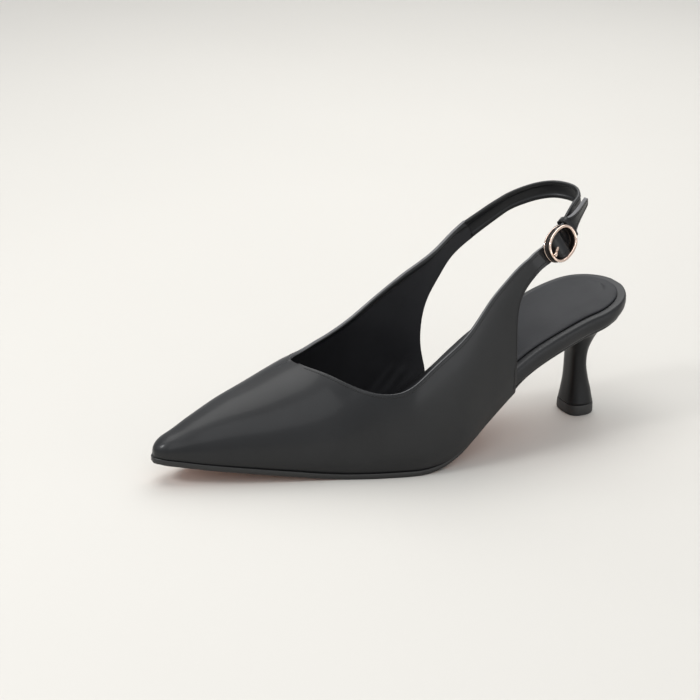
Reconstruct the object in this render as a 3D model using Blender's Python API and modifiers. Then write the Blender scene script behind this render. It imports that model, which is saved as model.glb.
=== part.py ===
"""Slingback pump, left shoe.

The shoe stands on the floor z = 0. The toe points to -Y, the outer side of the
foot is +X, and the origin is the middle of the heel tip's floor face.
Metres. Every form is worked out from the named sizes and the short tables below.
"""
import math

import bmesh
import bpy
import numpy as np
from mathutils import Matrix, Vector

# Sizes of the last and the sole
SHOE_LENGTH = 0.2453       # tip of the toe to the back of the seat, along the floor
HEEL_SETBACK = 0.0193      # back of the seat to the middle of the heel tip
BALL_WIDTH = 0.0690        # insole across the ball of the foot
SEAT_WIDTH = 0.0545        # insole across the seat
HEEL_HEIGHT = 0.0535       # floor to the underside of the seat, above the heel tip's middle
TOE_SPRING = 0.0105        # floor to the sole under the tip of the toe
THROAT_HEIGHT = 0.0500     # floor to the middle of the topline

# Thicknesses
OUTSOLE_THICKNESS = 0.0027 # under the forefoot
OUTSOLE_SEAT_THICKNESS = 0.0010
INSOLE_FORE_THICKNESS = 0.0022
INSOLE_SEAT_THICKNESS = 0.0076
SOCK_THICKNESS = 0.0013
UPPER_WALL = 0.0016        # leather and lining together
SLING_THICKNESS = 0.0010
KEEPER_THICKNESS = 0.0008

# Margins and clearances
GAP = 0.0003               # between pieces that touch on the real shoe
EASE = 0.00015             # between the layers that wrap the buckle's bar
SOLE_EDGE = 0.0006         # the outsole stands out this far beyond the upper
SEAT_INSET = 0.0020        # the outsole stays this far inside the insole under the seat
SOCK_INSET = 0.0045        # the sock lining stays this far inside the insole's edge
HEEL_INSET = 0.0036        # the heel's top stays this far inside the seat's edge

# Heel
TIP_WIDTH = 0.0187
TIP_DEPTH = 0.0164
TIP_HEIGHT = 0.0055
WAIST_WIDTH = 0.0136
WAIST_DEPTH = 0.0102
BREAST_Y = -0.0150         # front of the heel's top under the seat

# Straps and buckle
SLING_WIDTH = 0.0092
BUCKLE_STRAP_WIDTH = 0.0086
ANKLE_HALF = 0.0280        # middle of the loop to the strap at its widest
SLING_HEIGHT = 0.1120      # floor to the middle of the strap behind the ankle
SLING_BACK = -0.0073       # Y of the strap behind the ankle
TAIL_LENGTH = 0.0288       # strap end beyond the buckle's bar
RING_LENGTH = 0.0193       # buckle along the strap
RING_WIDTH = 0.0151        # buckle across the strap
RING_FRAME = 0.0015        # width of the ring's metal
RING_DEPTH = 0.0046        # depth of the ring's metal
BAR_RADIUS = 0.0006
PRONG_RADIUS = 0.0005
PRONG_HOLE = 0.0024
KEEPER_WIDTH = 0.0032

TOE_Y = HEEL_SETBACK - SHOE_LENGTH
SOLE_MARGIN = GAP + UPPER_WALL + SOLE_EDGE
LAST_LENGTH = SHOE_LENGTH - SOLE_MARGIN
LAST_TIP_Y = TOE_Y + SOLE_MARGIN

# Edge of the insole. along is a share of LAST_LENGTH from the toe. outer and inner
# are half widths, as shares of the width that the row names.
#   along   of           outer  inner
LAST_PLAN = (
    (0.000, BALL_WIDTH, 0.043, 0.058),
    (0.038, BALL_WIDTH, 0.090, 0.107),
    (0.080, BALL_WIDTH, 0.149, 0.170),
    (0.161, BALL_WIDTH, 0.245, 0.280),
    (0.242, BALL_WIDTH, 0.327, 0.368),
    (0.323, BALL_WIDTH, 0.405, 0.426),
    (0.404, BALL_WIDTH, 0.500, 0.457),
    (0.484, BALL_WIDTH, 0.556, 0.438),
    (0.555, BALL_WIDTH, 0.541, 0.391),
    (0.636, BALL_WIDTH, 0.477, 0.328),
    (0.717, SEAT_WIDTH, 0.550, 0.411),
    (0.798, SEAT_WIDTH, 0.540, 0.440),
    (0.879, SEAT_WIDTH, 0.514, 0.479),
    (1.000, SEAT_WIDTH, 0.505, 0.495),
)
NOSE_SHARE = 0.020         # length of the toe's round end, of LAST_LENGTH
SEAT_ROUND_SHARE = 0.106   # length of the seat's round end, of LAST_LENGTH

# Underside of the outsole. rise is a share of HEEL_HEIGHT, spring of TOE_SPRING.
#   along   rise   spring
LAST_PROFILE = (
    (0.000, 0.000, 1.000),
    (0.079, 0.000, 0.740),
    (0.161, 0.000, 0.500),
    (0.243, 0.000, 0.250),
    (0.296, 0.000, 0.085),
    (0.345, 0.000, 0.000),
    (0.476, 0.000, 0.000),
    (0.517, 0.022, 0.000),
    (0.550, 0.075, 0.000),
    (0.591, 0.187, 0.000),
    (0.632, 0.327, 0.000),
    (0.673, 0.471, 0.000),
    (0.714, 0.609, 0.000),
    (0.754, 0.725, 0.000),
    (0.795, 0.815, 0.000),
    (0.836, 0.886, 0.000),
    (0.877, 0.948, 0.000),
    (0.918, 1.000, 0.000),
    (0.959, 1.060, 0.000),
    (1.000, 1.118, 0.000),
)

# Cross sections of the upper. bulge is how far the wall swells beyond its foot and
# belly how far up, both as shares of BALL_WIDTH. crown is the height of the last's
# top from the floor, as a share of THROAT_HEIGHT, and ridge its shift to the outside
# from the middle, as a share of BALL_WIDTH. Behind the throat the crown isn't leather:
# it only sets how far the quarters lean in.
#   along   bulge          belly          crown          ridge
#           outer  inner   outer  inner   outer  inner
LAST_SECTIONS = (
    (0.000, 0.005, 0.005, 0.029, 0.029, 0.420, 0.420, 0.000),
    (0.022, 0.006, 0.006, 0.035, 0.035, 0.452, 0.452, -0.004),
    (0.071, 0.009, 0.009, 0.044, 0.044, 0.566, 0.566, -0.015),
    (0.132, 0.015, 0.013, 0.058, 0.058, 0.697, 0.697, -0.029),
    (0.198, 0.022, 0.017, 0.080, 0.072, 0.810, 0.810, -0.043),
    (0.251, 0.027, 0.020, 0.094, 0.087, 0.910, 0.910, -0.055),
    (0.280, 0.029, 0.022, 0.101, 0.087, 0.966, 0.966, -0.058),
    (0.316, 0.030, 0.022, 0.101, 0.087, 1.055, 1.020, -0.058),
    (0.353, 0.030, 0.024, 0.108, 0.100, 1.210, 1.130, -0.052),
    (0.398, 0.030, 0.026, 0.116, 0.116, 1.400, 1.290, -0.045),
    (0.443, 0.029, 0.029, 0.120, 0.145, 1.580, 1.540, -0.040),
    (0.492, 0.029, 0.035, 0.130, 0.188, 1.780, 2.000, -0.030),
    (0.566, 0.029, 0.047, 0.160, 0.320, 2.080, 3.000, -0.015),
    (0.644, 0.026, 0.070, 0.200, 0.430, 2.600, 3.800, 0.000),
    (0.705, 0.022, 0.087, 0.200, 0.460, 3.240, 4.400, 0.000),
    (0.746, 0.022, 0.087, 0.200, 0.430, 3.600, 4.800, 0.000),
)
NOSE_FOOT = 0.35           # share of the toe's height that stands straight up at the tip

# Cut edges of the quarters. height is from the floor, as a share of THROAT_HEIGHT.
THROAT_ALONG = 0.280
#   along   height
TOPLINE_OUTER = (
    (0.280, 0.966), (0.310, 0.950), (0.341, 0.898), (0.370, 0.848), (0.405, 0.816),
    (0.448, 0.853), (0.492, 1.000), (0.529, 1.126), (0.562, 1.242), (0.595, 1.396),
    (0.628, 1.580), (0.663, 1.742), (0.690, 1.855), (0.711, 1.925),
)
TOPLINE_INNER = (
    (0.280, 0.966), (0.307, 0.966), (0.340, 0.976), (0.382, 1.020), (0.423, 1.092),
    (0.464, 1.192), (0.500, 1.290), (0.532, 1.384), (0.564, 1.486), (0.642, 1.742),
    (0.666, 1.836), (0.700, 1.950),
)
#   height  along
REAR_EDGE_OUTER = (
    (0.640, 0.692), (1.000, 0.688), (1.280, 0.686), (1.480, 0.690), (1.630, 0.703),
    (1.750, 0.724),
)
REAR_EDGE_INNER = (
    (0.480, 0.618), (0.760, 0.610), (1.020, 0.612), (1.240, 0.624), (1.460, 0.650),
    (1.620, 0.676), (1.776, 0.722),
)
CORNER_OUTER = 0.590       # topline point across from the outer rear edge's foot
CORNER_INNER = 0.530       # topline point across from the inner rear edge's foot

# Buckle: where its middle is, and how it faces
BUCKLE_CENTRE = Vector((1.026 * ANKLE_HALF, -0.1360 * SHOE_LENGTH, 0.901 * SLING_HEIGHT))
BUCKLE_YAW = math.radians(15.0)
BUCKLE_TILT = math.radians(18.0)
BUCKLE_RISE = math.radians(28.5)
BAR_OUT = -0.5 * RING_DEPTH

# Mesh steps
SIDE_ROWS = 9
VAMP_STEPS = 16
QUARTER_STEPS = 11
REAR_STEPS = 8
SOLE_STEPS = 34
SOLE_ROWS = 6


def fair(rows, column, key=0):
    """A smooth curve through one column of a table, without overshoot."""
    xs = np.array([row[key] for row in rows], float)
    ys = np.array([row[column] for row in rows], float)
    steps = np.diff(xs)
    slopes = np.diff(ys) / steps
    ends = np.zeros(len(xs))
    for k in range(1, len(xs) - 1):
        if slopes[k - 1] * slopes[k] > 0:
            before, after = steps[k - 1], steps[k]
            first, second = 2 * after + before, after + 2 * before
            ends[k] = (first + second) / (first / slopes[k - 1] + second / slopes[k])
    ends[0], ends[-1] = slopes[0], slopes[-1]

    def at(x):
        x = min(max(x, xs[0]), xs[-1])
        k = min(int(np.searchsorted(xs, x, side="right")) - 1, len(steps) - 1)
        k = max(k, 0)
        step = steps[k]
        u = (x - xs[k]) / step
        keep, turn = (1 + 2 * u) * (1 - u) ** 2, u * (1 - u) ** 2
        keep_next, turn_next = u * u * (3 - 2 * u), u * u * (u - 1)
        return (keep * ys[k] + turn * step * ends[k]
                + keep_next * ys[k + 1] + turn_next * step * ends[k + 1])
    return at


def smooth(rows, column, key=0):
    """A natural cubic curve through one column of a table, for edges cut by eye."""
    xs = np.array([row[key] for row in rows], float)
    ys = np.array([row[column] for row in rows], float)
    steps, count = np.diff(xs), len(xs)
    system, right = np.eye(count), np.zeros(count)
    for k in range(1, count - 1):
        before, after = steps[k - 1], steps[k]
        system[k, k - 1:k + 2] = before, 2 * (before + after), after
        right[k] = 6 * ((ys[k + 1] - ys[k]) / after - (ys[k] - ys[k - 1]) / before)
    bends = np.linalg.solve(system, right)

    def at(x):
        x = min(max(x, xs[0]), xs[-1])
        k = min(max(int(np.searchsorted(xs, x, side="right")) - 1, 0), count - 2)
        step, low, high = steps[k], xs[k + 1] - x, x - xs[k]
        return ((bends[k] * low ** 3 + bends[k + 1] * high ** 3) / (6 * step)
                + (ys[k] / step - bends[k] * step / 6) * low
                + (ys[k + 1] / step - bends[k + 1] * step / 6) * high)
    return at


def y_of(along):
    return LAST_TIP_Y + along * LAST_LENGTH


def along_of(y):
    return (y - LAST_TIP_Y) / LAST_LENGTH


def round_end(distance, length):
    """0 at a round end, 1 from one length inside it."""
    inside = 1 - min(max(distance / length, 0), 1)
    return math.sqrt(1 - inside * inside)


plan_rows = [(row[0], row[1] * row[2], row[1] * row[3]) for row in LAST_PLAN]
PLAN_HALF = {1: fair(plan_rows, 1), -1: fair(plan_rows, 2)}
RISE = fair(LAST_PROFILE, 1)
SPRING = fair(LAST_PROFILE, 2)


def underside(y):
    """Height of the outsole's underside above the floor."""
    along = along_of(y)
    return RISE(along) * HEEL_HEIGHT + SPRING(along) * TOE_SPRING


def lift(y, thickness):
    """Height at a distance above the underside, square to it."""
    step = 0.0005
    slope = (underside(y + step) - underside(y - step)) / (2 * step)
    return underside(y) + thickness * math.sqrt(1 + slope * slope)


# The outsole: how far its edge lies beyond the insole's edge, and its thickness.
# It stands out under the toe and the ball, and tucks in from the arch back.
ARCH_MARGIN = 0.0005
#   along   margin       thickness
OUTSOLE_ROWS = (
    (0.000, SOLE_MARGIN, OUTSOLE_THICKNESS),
    (0.470, SOLE_MARGIN, OUTSOLE_THICKNESS),
    (0.620, ARCH_MARGIN, OUTSOLE_SEAT_THICKNESS),
    (0.660, ARCH_MARGIN, OUTSOLE_SEAT_THICKNESS),
    (0.730, -SEAT_INSET, OUTSOLE_SEAT_THICKNESS),
    (1.000, -SEAT_INSET, OUTSOLE_SEAT_THICKNESS),
)
outsole_margin = fair(OUTSOLE_ROWS, 1)
THICKNESS = fair(OUTSOLE_ROWS, 2)


def outsole_thickness(y):
    return THICKNESS(along_of(y))


def last_half(side, along):
    """Half width of the insole's edge on one side."""
    nose = round_end(along, NOSE_SHARE)
    seat = round_end(1 - along, SEAT_ROUND_SHARE)
    return PLAN_HALF[side](along) * nose * seat


class Edge:
    """The insole's edge moved outward, by a distance that may follow along."""

    def __init__(self, margin):
        count = 320
        shares = [(1 - math.cos(math.pi * k / count)) / 2 for k in range(count + 1)]
        loop = [(last_half(1, s), y_of(s), s) for s in shares]
        loop += [(-last_half(-1, s), y_of(s), s) for s in shares[-2:0:-1]]
        moved = []
        for k, (x, y, along) in enumerate(loop):
            before, after = loop[k - 1], loop[(k + 1) % len(loop)]
            run = Vector((after[0] - before[0], after[1] - before[1])).normalized()
            moved.append((x + run.y * margin(along), y - run.x * margin(along)))
        outer, inner = moved[:count + 1], [moved[0]] + moved[:count - 1:-1]
        self.sides = {1: self.unfolded(outer), -1: self.unfolded(inner)}
        self.tip = self.meeting(0)
        self.back = self.meeting(-1)

    def unfolded(self, points):
        """The points from the middle out to where the moved line turns back."""
        middle = len(points) // 2
        first = last = middle
        while first > 0 and points[first - 1][1] < points[first][1] - 1e-7:
            first -= 1
        while last < len(points) - 1 and points[last + 1][1] > points[last][1] + 1e-7:
            last += 1
        return np.array(points[first:last + 1])

    def meeting(self, end):
        """Y where the two sides meet at the toe or at the back."""
        inside = y_of(0.5)
        ends = [self.sides[side][end, 1] for side in (1, -1)]
        outside = max(ends) if end == 0 else min(ends)
        for _ in range(40):
            if self.wide(1, outside) - self.wide(-1, outside) > 0:
                break
            halfway = outside + (inside - outside) * 0.002
            outside = halfway
        return outside

    def wide(self, side, y):
        points = self.sides[side]
        return float(np.interp(y, points[:, 1], points[:, 0]))

    def x(self, side, y):
        if y <= self.tip + 1e-9 or y >= self.back - 1e-9:
            return (self.wide(1, y) + self.wide(-1, y)) / 2
        return self.wide(side, y)

    def stations(self, count):
        """Places along the shoe, closer together at both round ends."""
        middle, half = (self.tip + self.back) / 2, (self.back - self.tip) / 2
        return [middle - half * math.cos(math.pi * k / count) for k in range(count + 1)]


INSOLE_EDGE = Edge(lambda along: 0)
UPPER_EDGE = Edge(lambda along: GAP + UPPER_WALL)
OUTSOLE_EDGE = Edge(outsole_margin)
SOCK_EDGE = Edge(lambda along: -SOCK_INSET)


def material(name, colour, roughness, metallic=0.0):
    made = bpy.data.materials.new(name)
    made.use_nodes = True
    shader = made.node_tree.nodes["Principled BSDF"]
    shader.inputs["Base Color"].default_value = (*colour, 1)
    shader.inputs["Roughness"].default_value = roughness
    shader.inputs["Metallic"].default_value = metallic
    return made


def new_object(name, mesh, collection, finish=None):
    made = bpy.data.objects.new(name, mesh)
    collection.objects.link(made)
    if finish:
        mesh.materials.append(finish)
    return made


def mesh_of(name, points, faces):
    """A mesh whose doubled points are merged, with faces turned outward."""
    mesh = bpy.data.meshes.new(name)
    mesh.from_pydata([tuple(point) for point in points], [], faces)
    work = bmesh.new()
    work.from_mesh(mesh)
    bmesh.ops.remove_doubles(work, verts=work.verts, dist=1e-6)
    bmesh.ops.recalc_face_normals(work, faces=work.faces)
    work.to_mesh(mesh)
    work.free()
    mesh.shade_smooth()
    mesh.set_sharp_from_angle(angle=math.radians(40))
    return mesh


def loft(name, rings, closed=False, caps=True):
    """A skin over rings of points. A closed loft joins its last ring to its first."""
    count = len(rings[0])
    points = [point for ring in rings for point in ring]
    faces = []
    last = len(rings) if closed else len(rings) - 1
    for k in range(last):
        here, there = k * count, (k + 1) % len(rings) * count
        for i in range(count):
            j = (i + 1) % count
            faces.append((here + i, here + j, there + j, there + i))
    if caps and not closed:
        faces.append(tuple(range(count)))
        faces.append(tuple(range((len(rings) - 1) * count, len(rings) * count)))
    return mesh_of(name, points, faces)


def slab(name, edge, bottom, top):
    """A layer of the sole between two heights, inside an edge."""
    rings = []
    for y in edge.stations(SOLE_STEPS):
        outer, inner = edge.x(1, y), edge.x(-1, y)
        xs = [outer + (inner - outer) * k / SOLE_ROWS for k in range(SOLE_ROWS + 1)]
        low = [Vector((x, y, bottom(y))) for x in xs]
        high = [Vector((x, y, top(y))) for x in reversed(xs)]
        rings.append(low + high)
    return loft(name, rings, caps=False)


# The last's side: section columns as curves along the shoe
SECTION = [None] + [fair(LAST_SECTIONS, column) for column in range(1, 8)]


def section(side, y):
    """The foot, widest and top points of the upper's section at y."""
    along = along_of(y)
    pick = 0 if side > 0 else 1
    nose = round_end(y - UPPER_EDGE.tip, NOSE_SHARE * LAST_LENGTH * 1.6)
    foot_x, foot_z = UPPER_EDGE.x(side, y), lift(y, outsole_thickness(y) + GAP)
    bulge = SECTION[1 + pick](along) * BALL_WIDTH * nose
    belly = SECTION[3 + pick](along) * BALL_WIDTH
    crown = SECTION[5 + pick](along) * THROAT_HEIGHT
    crown = foot_z + (crown - foot_z) * (NOSE_FOOT + (1 - NOSE_FOOT) * nose)
    middle = (UPPER_EDGE.x(1, y) + UPPER_EDGE.x(-1, y)) / 2
    ridge_x = middle + SECTION[7](along) * BALL_WIDTH * nose
    belly = min(belly, 0.3 * (crown - foot_z))
    return foot_x, foot_z, foot_x + side * bulge, foot_z + belly, ridge_x, crown


BELLY_SHARE = 0.22         # share of a section's rows below its widest point


def last_point(side, y, t):
    """A point of the upper's outer face: t is 0 at the sole and 1 on the ridge."""
    foot_x, foot_z, wide_x, wide_z, ridge_x, crown = section(side, y)
    if t < BELLY_SHARE:
        down = 1 - t / BELLY_SHARE
        x = wide_x + (foot_x - wide_x) * down * down
        return Vector((x, y, wide_z + (foot_z - wide_z) * down))
    turn = (t - BELLY_SHARE) / (1 - BELLY_SHARE) * math.pi / 2
    x = ridge_x + (wide_x - ridge_x) * math.cos(turn)
    return Vector((x, y, wide_z + (crown - wide_z) * math.sin(turn)))


def row_at(side, y, z):
    """The t of the upper's outer face at a height."""
    foot_z, wide_z, crown = section(side, y)[1], section(side, y)[3], section(side, y)[5]
    if z < wide_z:
        return BELLY_SHARE * (z - foot_z) / (wide_z - foot_z)
    turn = math.asin(min((z - wide_z) / (crown - wide_z), 1))
    return BELLY_SHARE + (1 - BELLY_SHARE) * turn / (math.pi / 2)


def quarter_columns(side, topline, rear_edge, corner):
    """Columns of points from the sole or the rear edge up to the topline."""
    top_height, rear_along = smooth(topline, 1), smooth(rear_edge, 1)
    end, foot_along = topline[-1][0], rear_edge[0][1]
    columns = []
    for k in range(1, QUARTER_STEPS + REAR_STEPS + 1):
        if k <= QUARTER_STEPS:
            share = (k / QUARTER_STEPS) ** 1.35
            low_y, low_t = y_of(THROAT_ALONG + share * (foot_along - THROAT_ALONG)), 0
            high = THROAT_ALONG + share * (corner - THROAT_ALONG)
        else:
            share = (k - QUARTER_STEPS) / REAR_STEPS
            foot_height = section(side, y_of(foot_along))[1] / THROAT_HEIGHT
            height = foot_height + share * (rear_edge[-1][0] - foot_height)
            low_y = y_of(rear_along(height))
            low_t = row_at(side, low_y, height * THROAT_HEIGHT)
            high = corner + share * (end - corner)
        high_y = y_of(high)
        high_t = row_at(side, high_y, top_height(high) * THROAT_HEIGHT)
        columns.append([
            last_point(side, low_y + (high_y - low_y) * j / SIDE_ROWS,
                       low_t + (high_t - low_t) * j / SIDE_ROWS)
            for j in range(SIDE_ROWS + 1)])
    return columns


# Frame of the buckle: forward along the strap, across it and out from the foot
OUT = Vector((math.cos(BUCKLE_TILT) * math.cos(BUCKLE_YAW),
              math.cos(BUCKLE_TILT) * math.sin(BUCKLE_YAW), math.sin(BUCKLE_TILT)))
level = Vector((-math.sin(BUCKLE_YAW), math.cos(BUCKLE_YAW), 0))
RUN = math.cos(BUCKLE_RISE) * level + math.sin(BUCKLE_RISE) * OUT.cross(level)
ACROSS = OUT.cross(RUN)


def at_buckle(run, across, out):
    return BUCKLE_CENTRE + RUN * run + ACROSS * across + OUT * out


# Depths in the buckle's frame: the outer face of the buckle strap under the frame and
# over the bar, then the middle of the sling strap under it and of its folded end.
STRAP_UNDER = -(RING_DEPTH / 2 + GAP)
STRAP_OVER = BAR_OUT + BAR_RADIUS + SLING_THICKNESS + 2 * EASE + UPPER_WALL
SLING_UNDER = STRAP_UNDER - UPPER_WALL - GAP - SLING_THICKNESS / 2
FOLD_UNDER = SLING_UNDER - SLING_THICKNESS - EASE

# Buckle strap from the quarter to its end. run and across are shares of RING_LENGTH,
# rise goes from 0 under the frame to 1 over the bar, twist is in degrees, and width a
# share of BUCKLE_STRAP_WIDTH.
#   run     across   rise   twist   width
BUCKLE_STRAP = (
    (-0.660, 0.045, -0.12, 0, 1.00),
    (-0.560, 0.034, -0.03, 0, 1.00),
    (-0.460, 0.014, 0.00, 0, 1.00),
    (-0.400, 0.005, 0.00, 0, 1.00),
    (-0.350, 0.002, 0.04, 0, 1.00),
    (-0.300, 0.000, 0.26, 0, 1.03),
    (-0.250, 0.000, 0.60, 0, 1.12),
    (-0.195, 0.000, 0.85, 0, 1.21),
    (-0.130, 0.000, 0.96, 0, 1.29),
    (-0.065, 0.000, 0.99, 0, 1.33),
    (0.000, 0.000, 1.00, 0, 1.34),
    (0.055, 0.000, 0.96, 0, 1.33),
    (0.110, 0.000, 0.83, 0, 1.29),
    (0.165, 0.000, 0.60, 0, 1.21),
    (0.225, 0.000, 0.28, 0, 1.11),
    (0.285, 0.000, 0.06, 0, 1.03),
    (0.350, 0.000, 0.01, 0, 1.00),
    (0.440, 0.000, 0.00, 0, 1.00),
    (0.540, 0.000, 0.00, 0, 1.00),
    (0.700, 0.006, 0.00, 0, 1.00),
    (0.800, 0.012, 0.05, 15, 0.98),
    (0.920, 0.030, 0.14, 26, 0.96),
    (1.100, 0.062, 0.22, 33, 0.92),
    (1.300, 0.102, 0.26, 36, 0.87),
)
TAIL_END_ACROSS = 0.138    # share of RING_LENGTH
TAIL_END_RISE = 0.28
TAIL_END_TWIST = 37
TAIL_END_WIDTH = 0.72


def buckle_strap_columns():
    rows = list(BUCKLE_STRAP)
    rows.append((TAIL_LENGTH / RING_LENGTH, TAIL_END_ACROSS, TAIL_END_RISE,
                 TAIL_END_TWIST, TAIL_END_WIDTH))
    middles = [at_buckle(run * RING_LENGTH, across * RING_LENGTH,
                         STRAP_UNDER + rise * (STRAP_OVER - STRAP_UNDER))
               for run, across, rise, twist, width in rows]
    columns = []
    for k, middle in enumerate(middles):
        step = middles[min(k + 1, len(rows) - 1)] - middles[max(k - 1, 0)]
        turn = step.dot(ACROSS) / max(step.dot(RUN), 1e-6)
        side = ACROSS - RUN * turn
        side = side.normalized() + OUT * math.tan(math.radians(rows[k][3]))
        side = side.normalized() * rows[k][4] * BUCKLE_STRAP_WIDTH / 2
        columns.append([middle + side * (2 * j / SIDE_ROWS - 1)
                        for j in range(SIDE_ROWS + 1)])
    return columns


def upper_mesh():
    """The outer face of vamp, quarters and buckle strap, as one sheet."""
    tip, throat = UPPER_EDGE.tip, y_of(THROAT_ALONG)
    points, faces = [], []

    def add_columns(columns):
        start = len(points)
        height = len(columns[0])
        for column in columns:
            points.extend(column)
        for k in range(len(columns) - 1):
            for j in range(height - 1):
                low = start + k * height + j
                faces.append((low, low + 1, low + height + 1, low + height))

    vamp = {}
    for side in (1, -1):
        columns = []
        for k in range(VAMP_STEPS + 1):
            y = tip + (throat - tip) * (1 - math.cos(math.pi / 2 * k / VAMP_STEPS))
            columns.append([last_point(side, y, j / SIDE_ROWS) for j in range(SIDE_ROWS + 1)])
        vamp[side] = columns
    outer = vamp[1] + quarter_columns(1, TOPLINE_OUTER, REAR_EDGE_OUTER, CORNER_OUTER)
    add_columns(outer + buckle_strap_columns())
    add_columns(vamp[-1] + quarter_columns(-1, TOPLINE_INNER, REAR_EDGE_INNER, CORNER_INNER))
    return mesh_of("upper", points, faces)


def ribbon(name, middles, across, widths, thickness, start):
    """A strap along middle points from a given first section."""
    rings = []
    for k, middle in enumerate(middles):
        run = middles[min(k + 1, len(middles) - 1)] - middles[max(k - 1, 0)]
        run.normalize()
        side = (across[k] - run * across[k].dot(run)).normalized()
        out = run.cross(side) * thickness / 2
        half = side * widths[k] / 2
        rings.append([middle - half + out, middle + half + out,
                      middle + half - out, middle - half - out])
    rings[0] = start
    return loft(name, rings)


# Middle line of the sling strap behind the ankle, from the inner quarter to the
# buckle. side is a share of ANKLE_HALF, back a share of SHOE_LENGTH from the strap's
# rearmost point, up a share of SLING_HEIGHT.
#   side    back    up
SLING_LOOP = (
    (-0.925, 0.1270, 0.915),
    (-0.865, 0.0980, 0.952),
    (-0.770, 0.0690, 0.981),
    (-0.640, 0.0430, 1.003),
    (-0.470, 0.0210, 1.016),
    (-0.240, 0.0050, 1.018),
    (0.000, 0.0000, 1.012),
    (0.230, 0.0110, 0.997),
    (0.430, 0.0360, 0.980),
)
SLING_LEAN = 0.20          # how far its upper edge leans in, over its width
# The same strap at the buckle, then folded round the bar and back on its inner side.
# run is a share of RING_LENGTH, drop goes from 0 at the fold to 1 at its full depth.
SLING_AT_BUCKLE = (
    (0.720, 1.04), (0.600, 1.00), (0.480, 1.00), (0.360, 1.00), (0.285, 0.99),
    (0.225, 0.90), (0.170, 0.66), (0.108, 0.30),
)
SLING_RETURN = (
    (0.049, 0.08), (0.107, 0.40), (0.166, 0.79), (0.224, 0.99), (0.293, 1.00),
    (0.390, 1.00), (0.459, 1.00),
)
FOLD_RADIUS = BAR_RADIUS + EASE + SLING_THICKNESS / 2
FOLD_START = math.radians(45)
FOLD_STEPS = 9
SLOT_WIDTH = 0.0030


def sling_start():
    """The strap's first section: the inner quarter's end, moved back by a gap."""
    quarter = quarter_columns(-1, TOPLINE_INNER, REAR_EDGE_INNER, CORNER_INNER)
    run = (quarter[-1][0] + quarter[-1][-1] - quarter[-2][0] - quarter[-2][-1]).normalized()
    low, high = (quarter[-1][k] + run * 2 * GAP for k in (0, -1))
    inward = run.cross(high - low).normalized() * UPPER_WALL
    return [low + inward, high + inward, high, low]


def sling_mesh():
    start = sling_start()
    start_width = (start[2] - start[3]).length
    middles, across = [sum(start, Vector()) / 4], [(start[2] - start[3]).normalized()]
    centre_y = SLING_BACK - 0.16 * SHOE_LENGTH
    for side, back, up in SLING_LOOP:
        middle = Vector((side * ANKLE_HALF, SLING_BACK - back * SHOE_LENGTH,
                         up * SLING_HEIGHT))
        outward = Vector((middle.x, middle.y - centre_y, 0)).normalized()
        middles.append(middle)
        across.append((Vector((0, 0, 1)) - SLING_LEAN * outward).normalized())
    loop_count = len(middles)
    fold_top = BAR_OUT + FOLD_RADIUS * math.sin(FOLD_START)
    for run, drop in SLING_AT_BUCKLE:
        middles.append(at_buckle(run * RING_LENGTH, 0,
                                 fold_top + drop * (SLING_UNDER - fold_top)))
    for k in range(FOLD_STEPS + 1):
        turn = FOLD_START + (1.5 * math.pi - FOLD_START) * k / FOLD_STEPS
        middles.append(at_buckle(FOLD_RADIUS * math.cos(turn), 0,
                                 BAR_OUT + FOLD_RADIUS * math.sin(turn)))
    fold_low = BAR_OUT - FOLD_RADIUS
    for run, drop in SLING_RETURN:
        middles.append(at_buckle(run * RING_LENGTH, 0,
                                 fold_low + drop * (FOLD_UNDER - fold_low)))
    across += [ACROSS] * (len(middles) - loop_count)
    fine, fine_across, widths = [], [], []
    for k in range(len(middles) - 1):
        steps = 4 if k < loop_count else 1
        for i in range(steps):
            fine.append(along_curve(middles, k, i / steps))
            fine_across.append(across[k].lerp(across[k + 1], i / steps))
            ease = max(1 - (k + i / steps) / 2, 0)
            widths.append(SLING_WIDTH + (start_width - SLING_WIDTH) * ease * ease)
    fine.append(middles[-1])
    fine_across.append(across[-1])
    widths.append(SLING_WIDTH)
    return ribbon("sling_strap", fine, fine_across, widths, SLING_THICKNESS, start)


def along_curve(points, k, u):
    """A point of the smooth curve through points, between points k and k + 1."""
    before, start = points[max(k - 1, 0)], points[k]
    end, after = points[k + 1], points[min(k + 2, len(points) - 1)]
    return 0.5 * (2 * start + (end - before) * u
                  + (2 * before - 5 * start + 4 * end - after) * u * u
                  + (3 * start - before - 3 * end + after) * u ** 3)


RING_POWER = 2.3           # 2 is an ellipse, more is squarer


def oval(turn):
    """A point of the frame's middle line and the direction outward from it."""
    run_radius, across_radius = (RING_LENGTH - RING_FRAME) / 2, (RING_WIDTH - RING_FRAME) / 2
    cos, sin = math.cos(turn), math.sin(turn)
    along = math.copysign(abs(cos) ** (2 / RING_POWER), cos)
    over = math.copysign(abs(sin) ** (2 / RING_POWER), sin)
    outward = Vector((math.copysign(abs(along) ** (RING_POWER - 1), along) / run_radius,
                      math.copysign(abs(over) ** (RING_POWER - 1), over) / across_radius))
    return Vector((along * run_radius, over * across_radius)), outward.normalized()


def ring_mesh():
    """The buckle's oval frame, a soft-edged band swept round an oval."""
    rings, steps, corners = [], 44, 10
    for k in range(steps):
        middle, outward = oval(2 * math.pi * k / steps)
        ring = []
        for i in range(corners):
            angle = 2 * math.pi * i / corners
            flat = middle + outward * RING_FRAME / 2 * math.cos(angle)
            ring.append(at_buckle(flat.x, flat.y, RING_DEPTH / 2 * math.sin(angle)))
        rings.append(ring)
    return loft("buckle_frame", rings, closed=True)


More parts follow.
